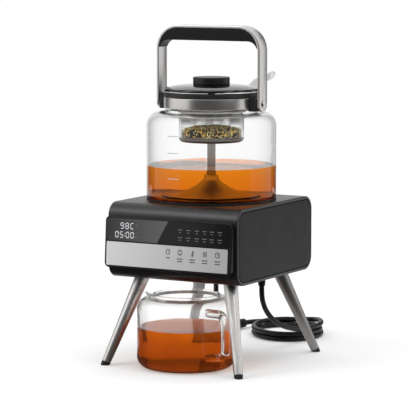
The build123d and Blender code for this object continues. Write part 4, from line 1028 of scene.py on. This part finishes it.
def floor_white():
    """White that keeps its shadow near the object and fades into the background further off.

    The light that the floor throws back on the object comes from a duller floor.
    """
    finish = Finish("floor_white")
    near = finish.node("AddShader", sockets={0: finish.matt(FLOOR_SHOWN), 1: finish.glow(WHITE, FLOOR_GLOW)})
    away = finish.node("VectorMath", {"operation": "LENGTH"}, {0: finish.here()}, out="Value")
    fade = ((away - FLOOR_FADE_START) / FLOOR_FADE).held()
    shown = finish.blend(fade, near, finish.glow(WHITE, 1.0))
    return finish.surface(finish.blend(finish.lit_path(), finish.matt(FLOOR_DULL), shown))


work = bmesh.new()
bmesh.ops.create_grid(work, x_segments=1, y_segments=1, size=FLOOR_HALF)
floor = placed("floor", mesh_from("floor", work))
floor.location.z = -FLOOR_DROP
floor.data.materials.append(floor_white())

card_finish = Finish("card_black")
card_black = card_finish.surface(card_finish.glow(CARD_GREY, 1.0))


def dark_card(name, middle_turn, half_turn, profile, steps=16):
    """A curved dark card that only gloss shows, from its turn round the object in degrees and its profile."""
    work = bmesh.new()
    columns = []
    for step in range(steps + 1):
        turn = math.radians(middle_turn - half_turn + 2 * half_turn * step / steps)
        columns.append([
            work.verts.new((out * math.sin(turn), -out * math.cos(turn), height)) for out, height in profile
        ])
    for first, second in zip(columns, columns[1:]):
        for low in range(len(profile) - 1):
            work.faces.new((first[low], second[low], second[low + 1], first[low + 1]))
    card = placed(name, mesh_from(name, work))
    card.data.materials.append(card_black)
    for ray in ("camera", "diffuse", "transmission", "volume_scatter", "shadow"):
        setattr(card, "visible_" + ray, False)


LYING = [(0.02, 0.001), (1.2, 0.001)]
STANDING = [(1.4, 0.0), (1.4, 1.1)]
dark_card("front_card", 37.0, 62.0, LYING + [(1.2, 0.75)])
dark_card("floor_card", -52.0, 27.0, LYING)
dark_card("left_card", -105.0, 16.0, STANDING)
dark_card("right_card", 174.0, 16.0, STANDING)


class Studio(Shades):
    """The world and the nodes that light it."""

    def __init__(self, name):
        self.world = bpy.data.worlds.new(name)
        self.world.use_nodes = True
        super().__init__(self.world.node_tree)
        self.output = self.tree.nodes.new("ShaderNodeOutputWorld")


studio = Studio("studio")
lit = studio.node("Background", sockets={"Color": WHITE, "Strength": LIT_WORLD})
shown = studio.node("Background", sockets={"Color": WHITE, "Strength": 1.0})
around = studio.blend(studio.lit_path(), lit, shown)
studio.tree.links.new(around.socket, studio.output.inputs["Surface"])
bpy.context.scene.world = studio.world


def lamp(name, place, size, power, glossy=True):
    """A soft square lamp that points at the middle of the object."""
    data = bpy.data.lights.new(name, "AREA")
    data.shape = "SQUARE"
    data.size = size
    data.energy = power
    light = placed(name, data)
    light.location = place
    light.rotation_euler = (LIGHT_TARGET - light.location).to_track_quat("-Z", "Y").to_euler()
    light.visible_camera = False
    light.visible_glossy = glossy
    light.visible_transmission = False


lamp("key", (-1.2, -1.6, 1.9), size=1.2, power=16.0)
lamp("side", (2.2, -0.6, 1.2), size=1.0, power=8.0)
lamp("top", (0.1, 0.4, 2.4), size=1.6, power=15.0, glossy=False)
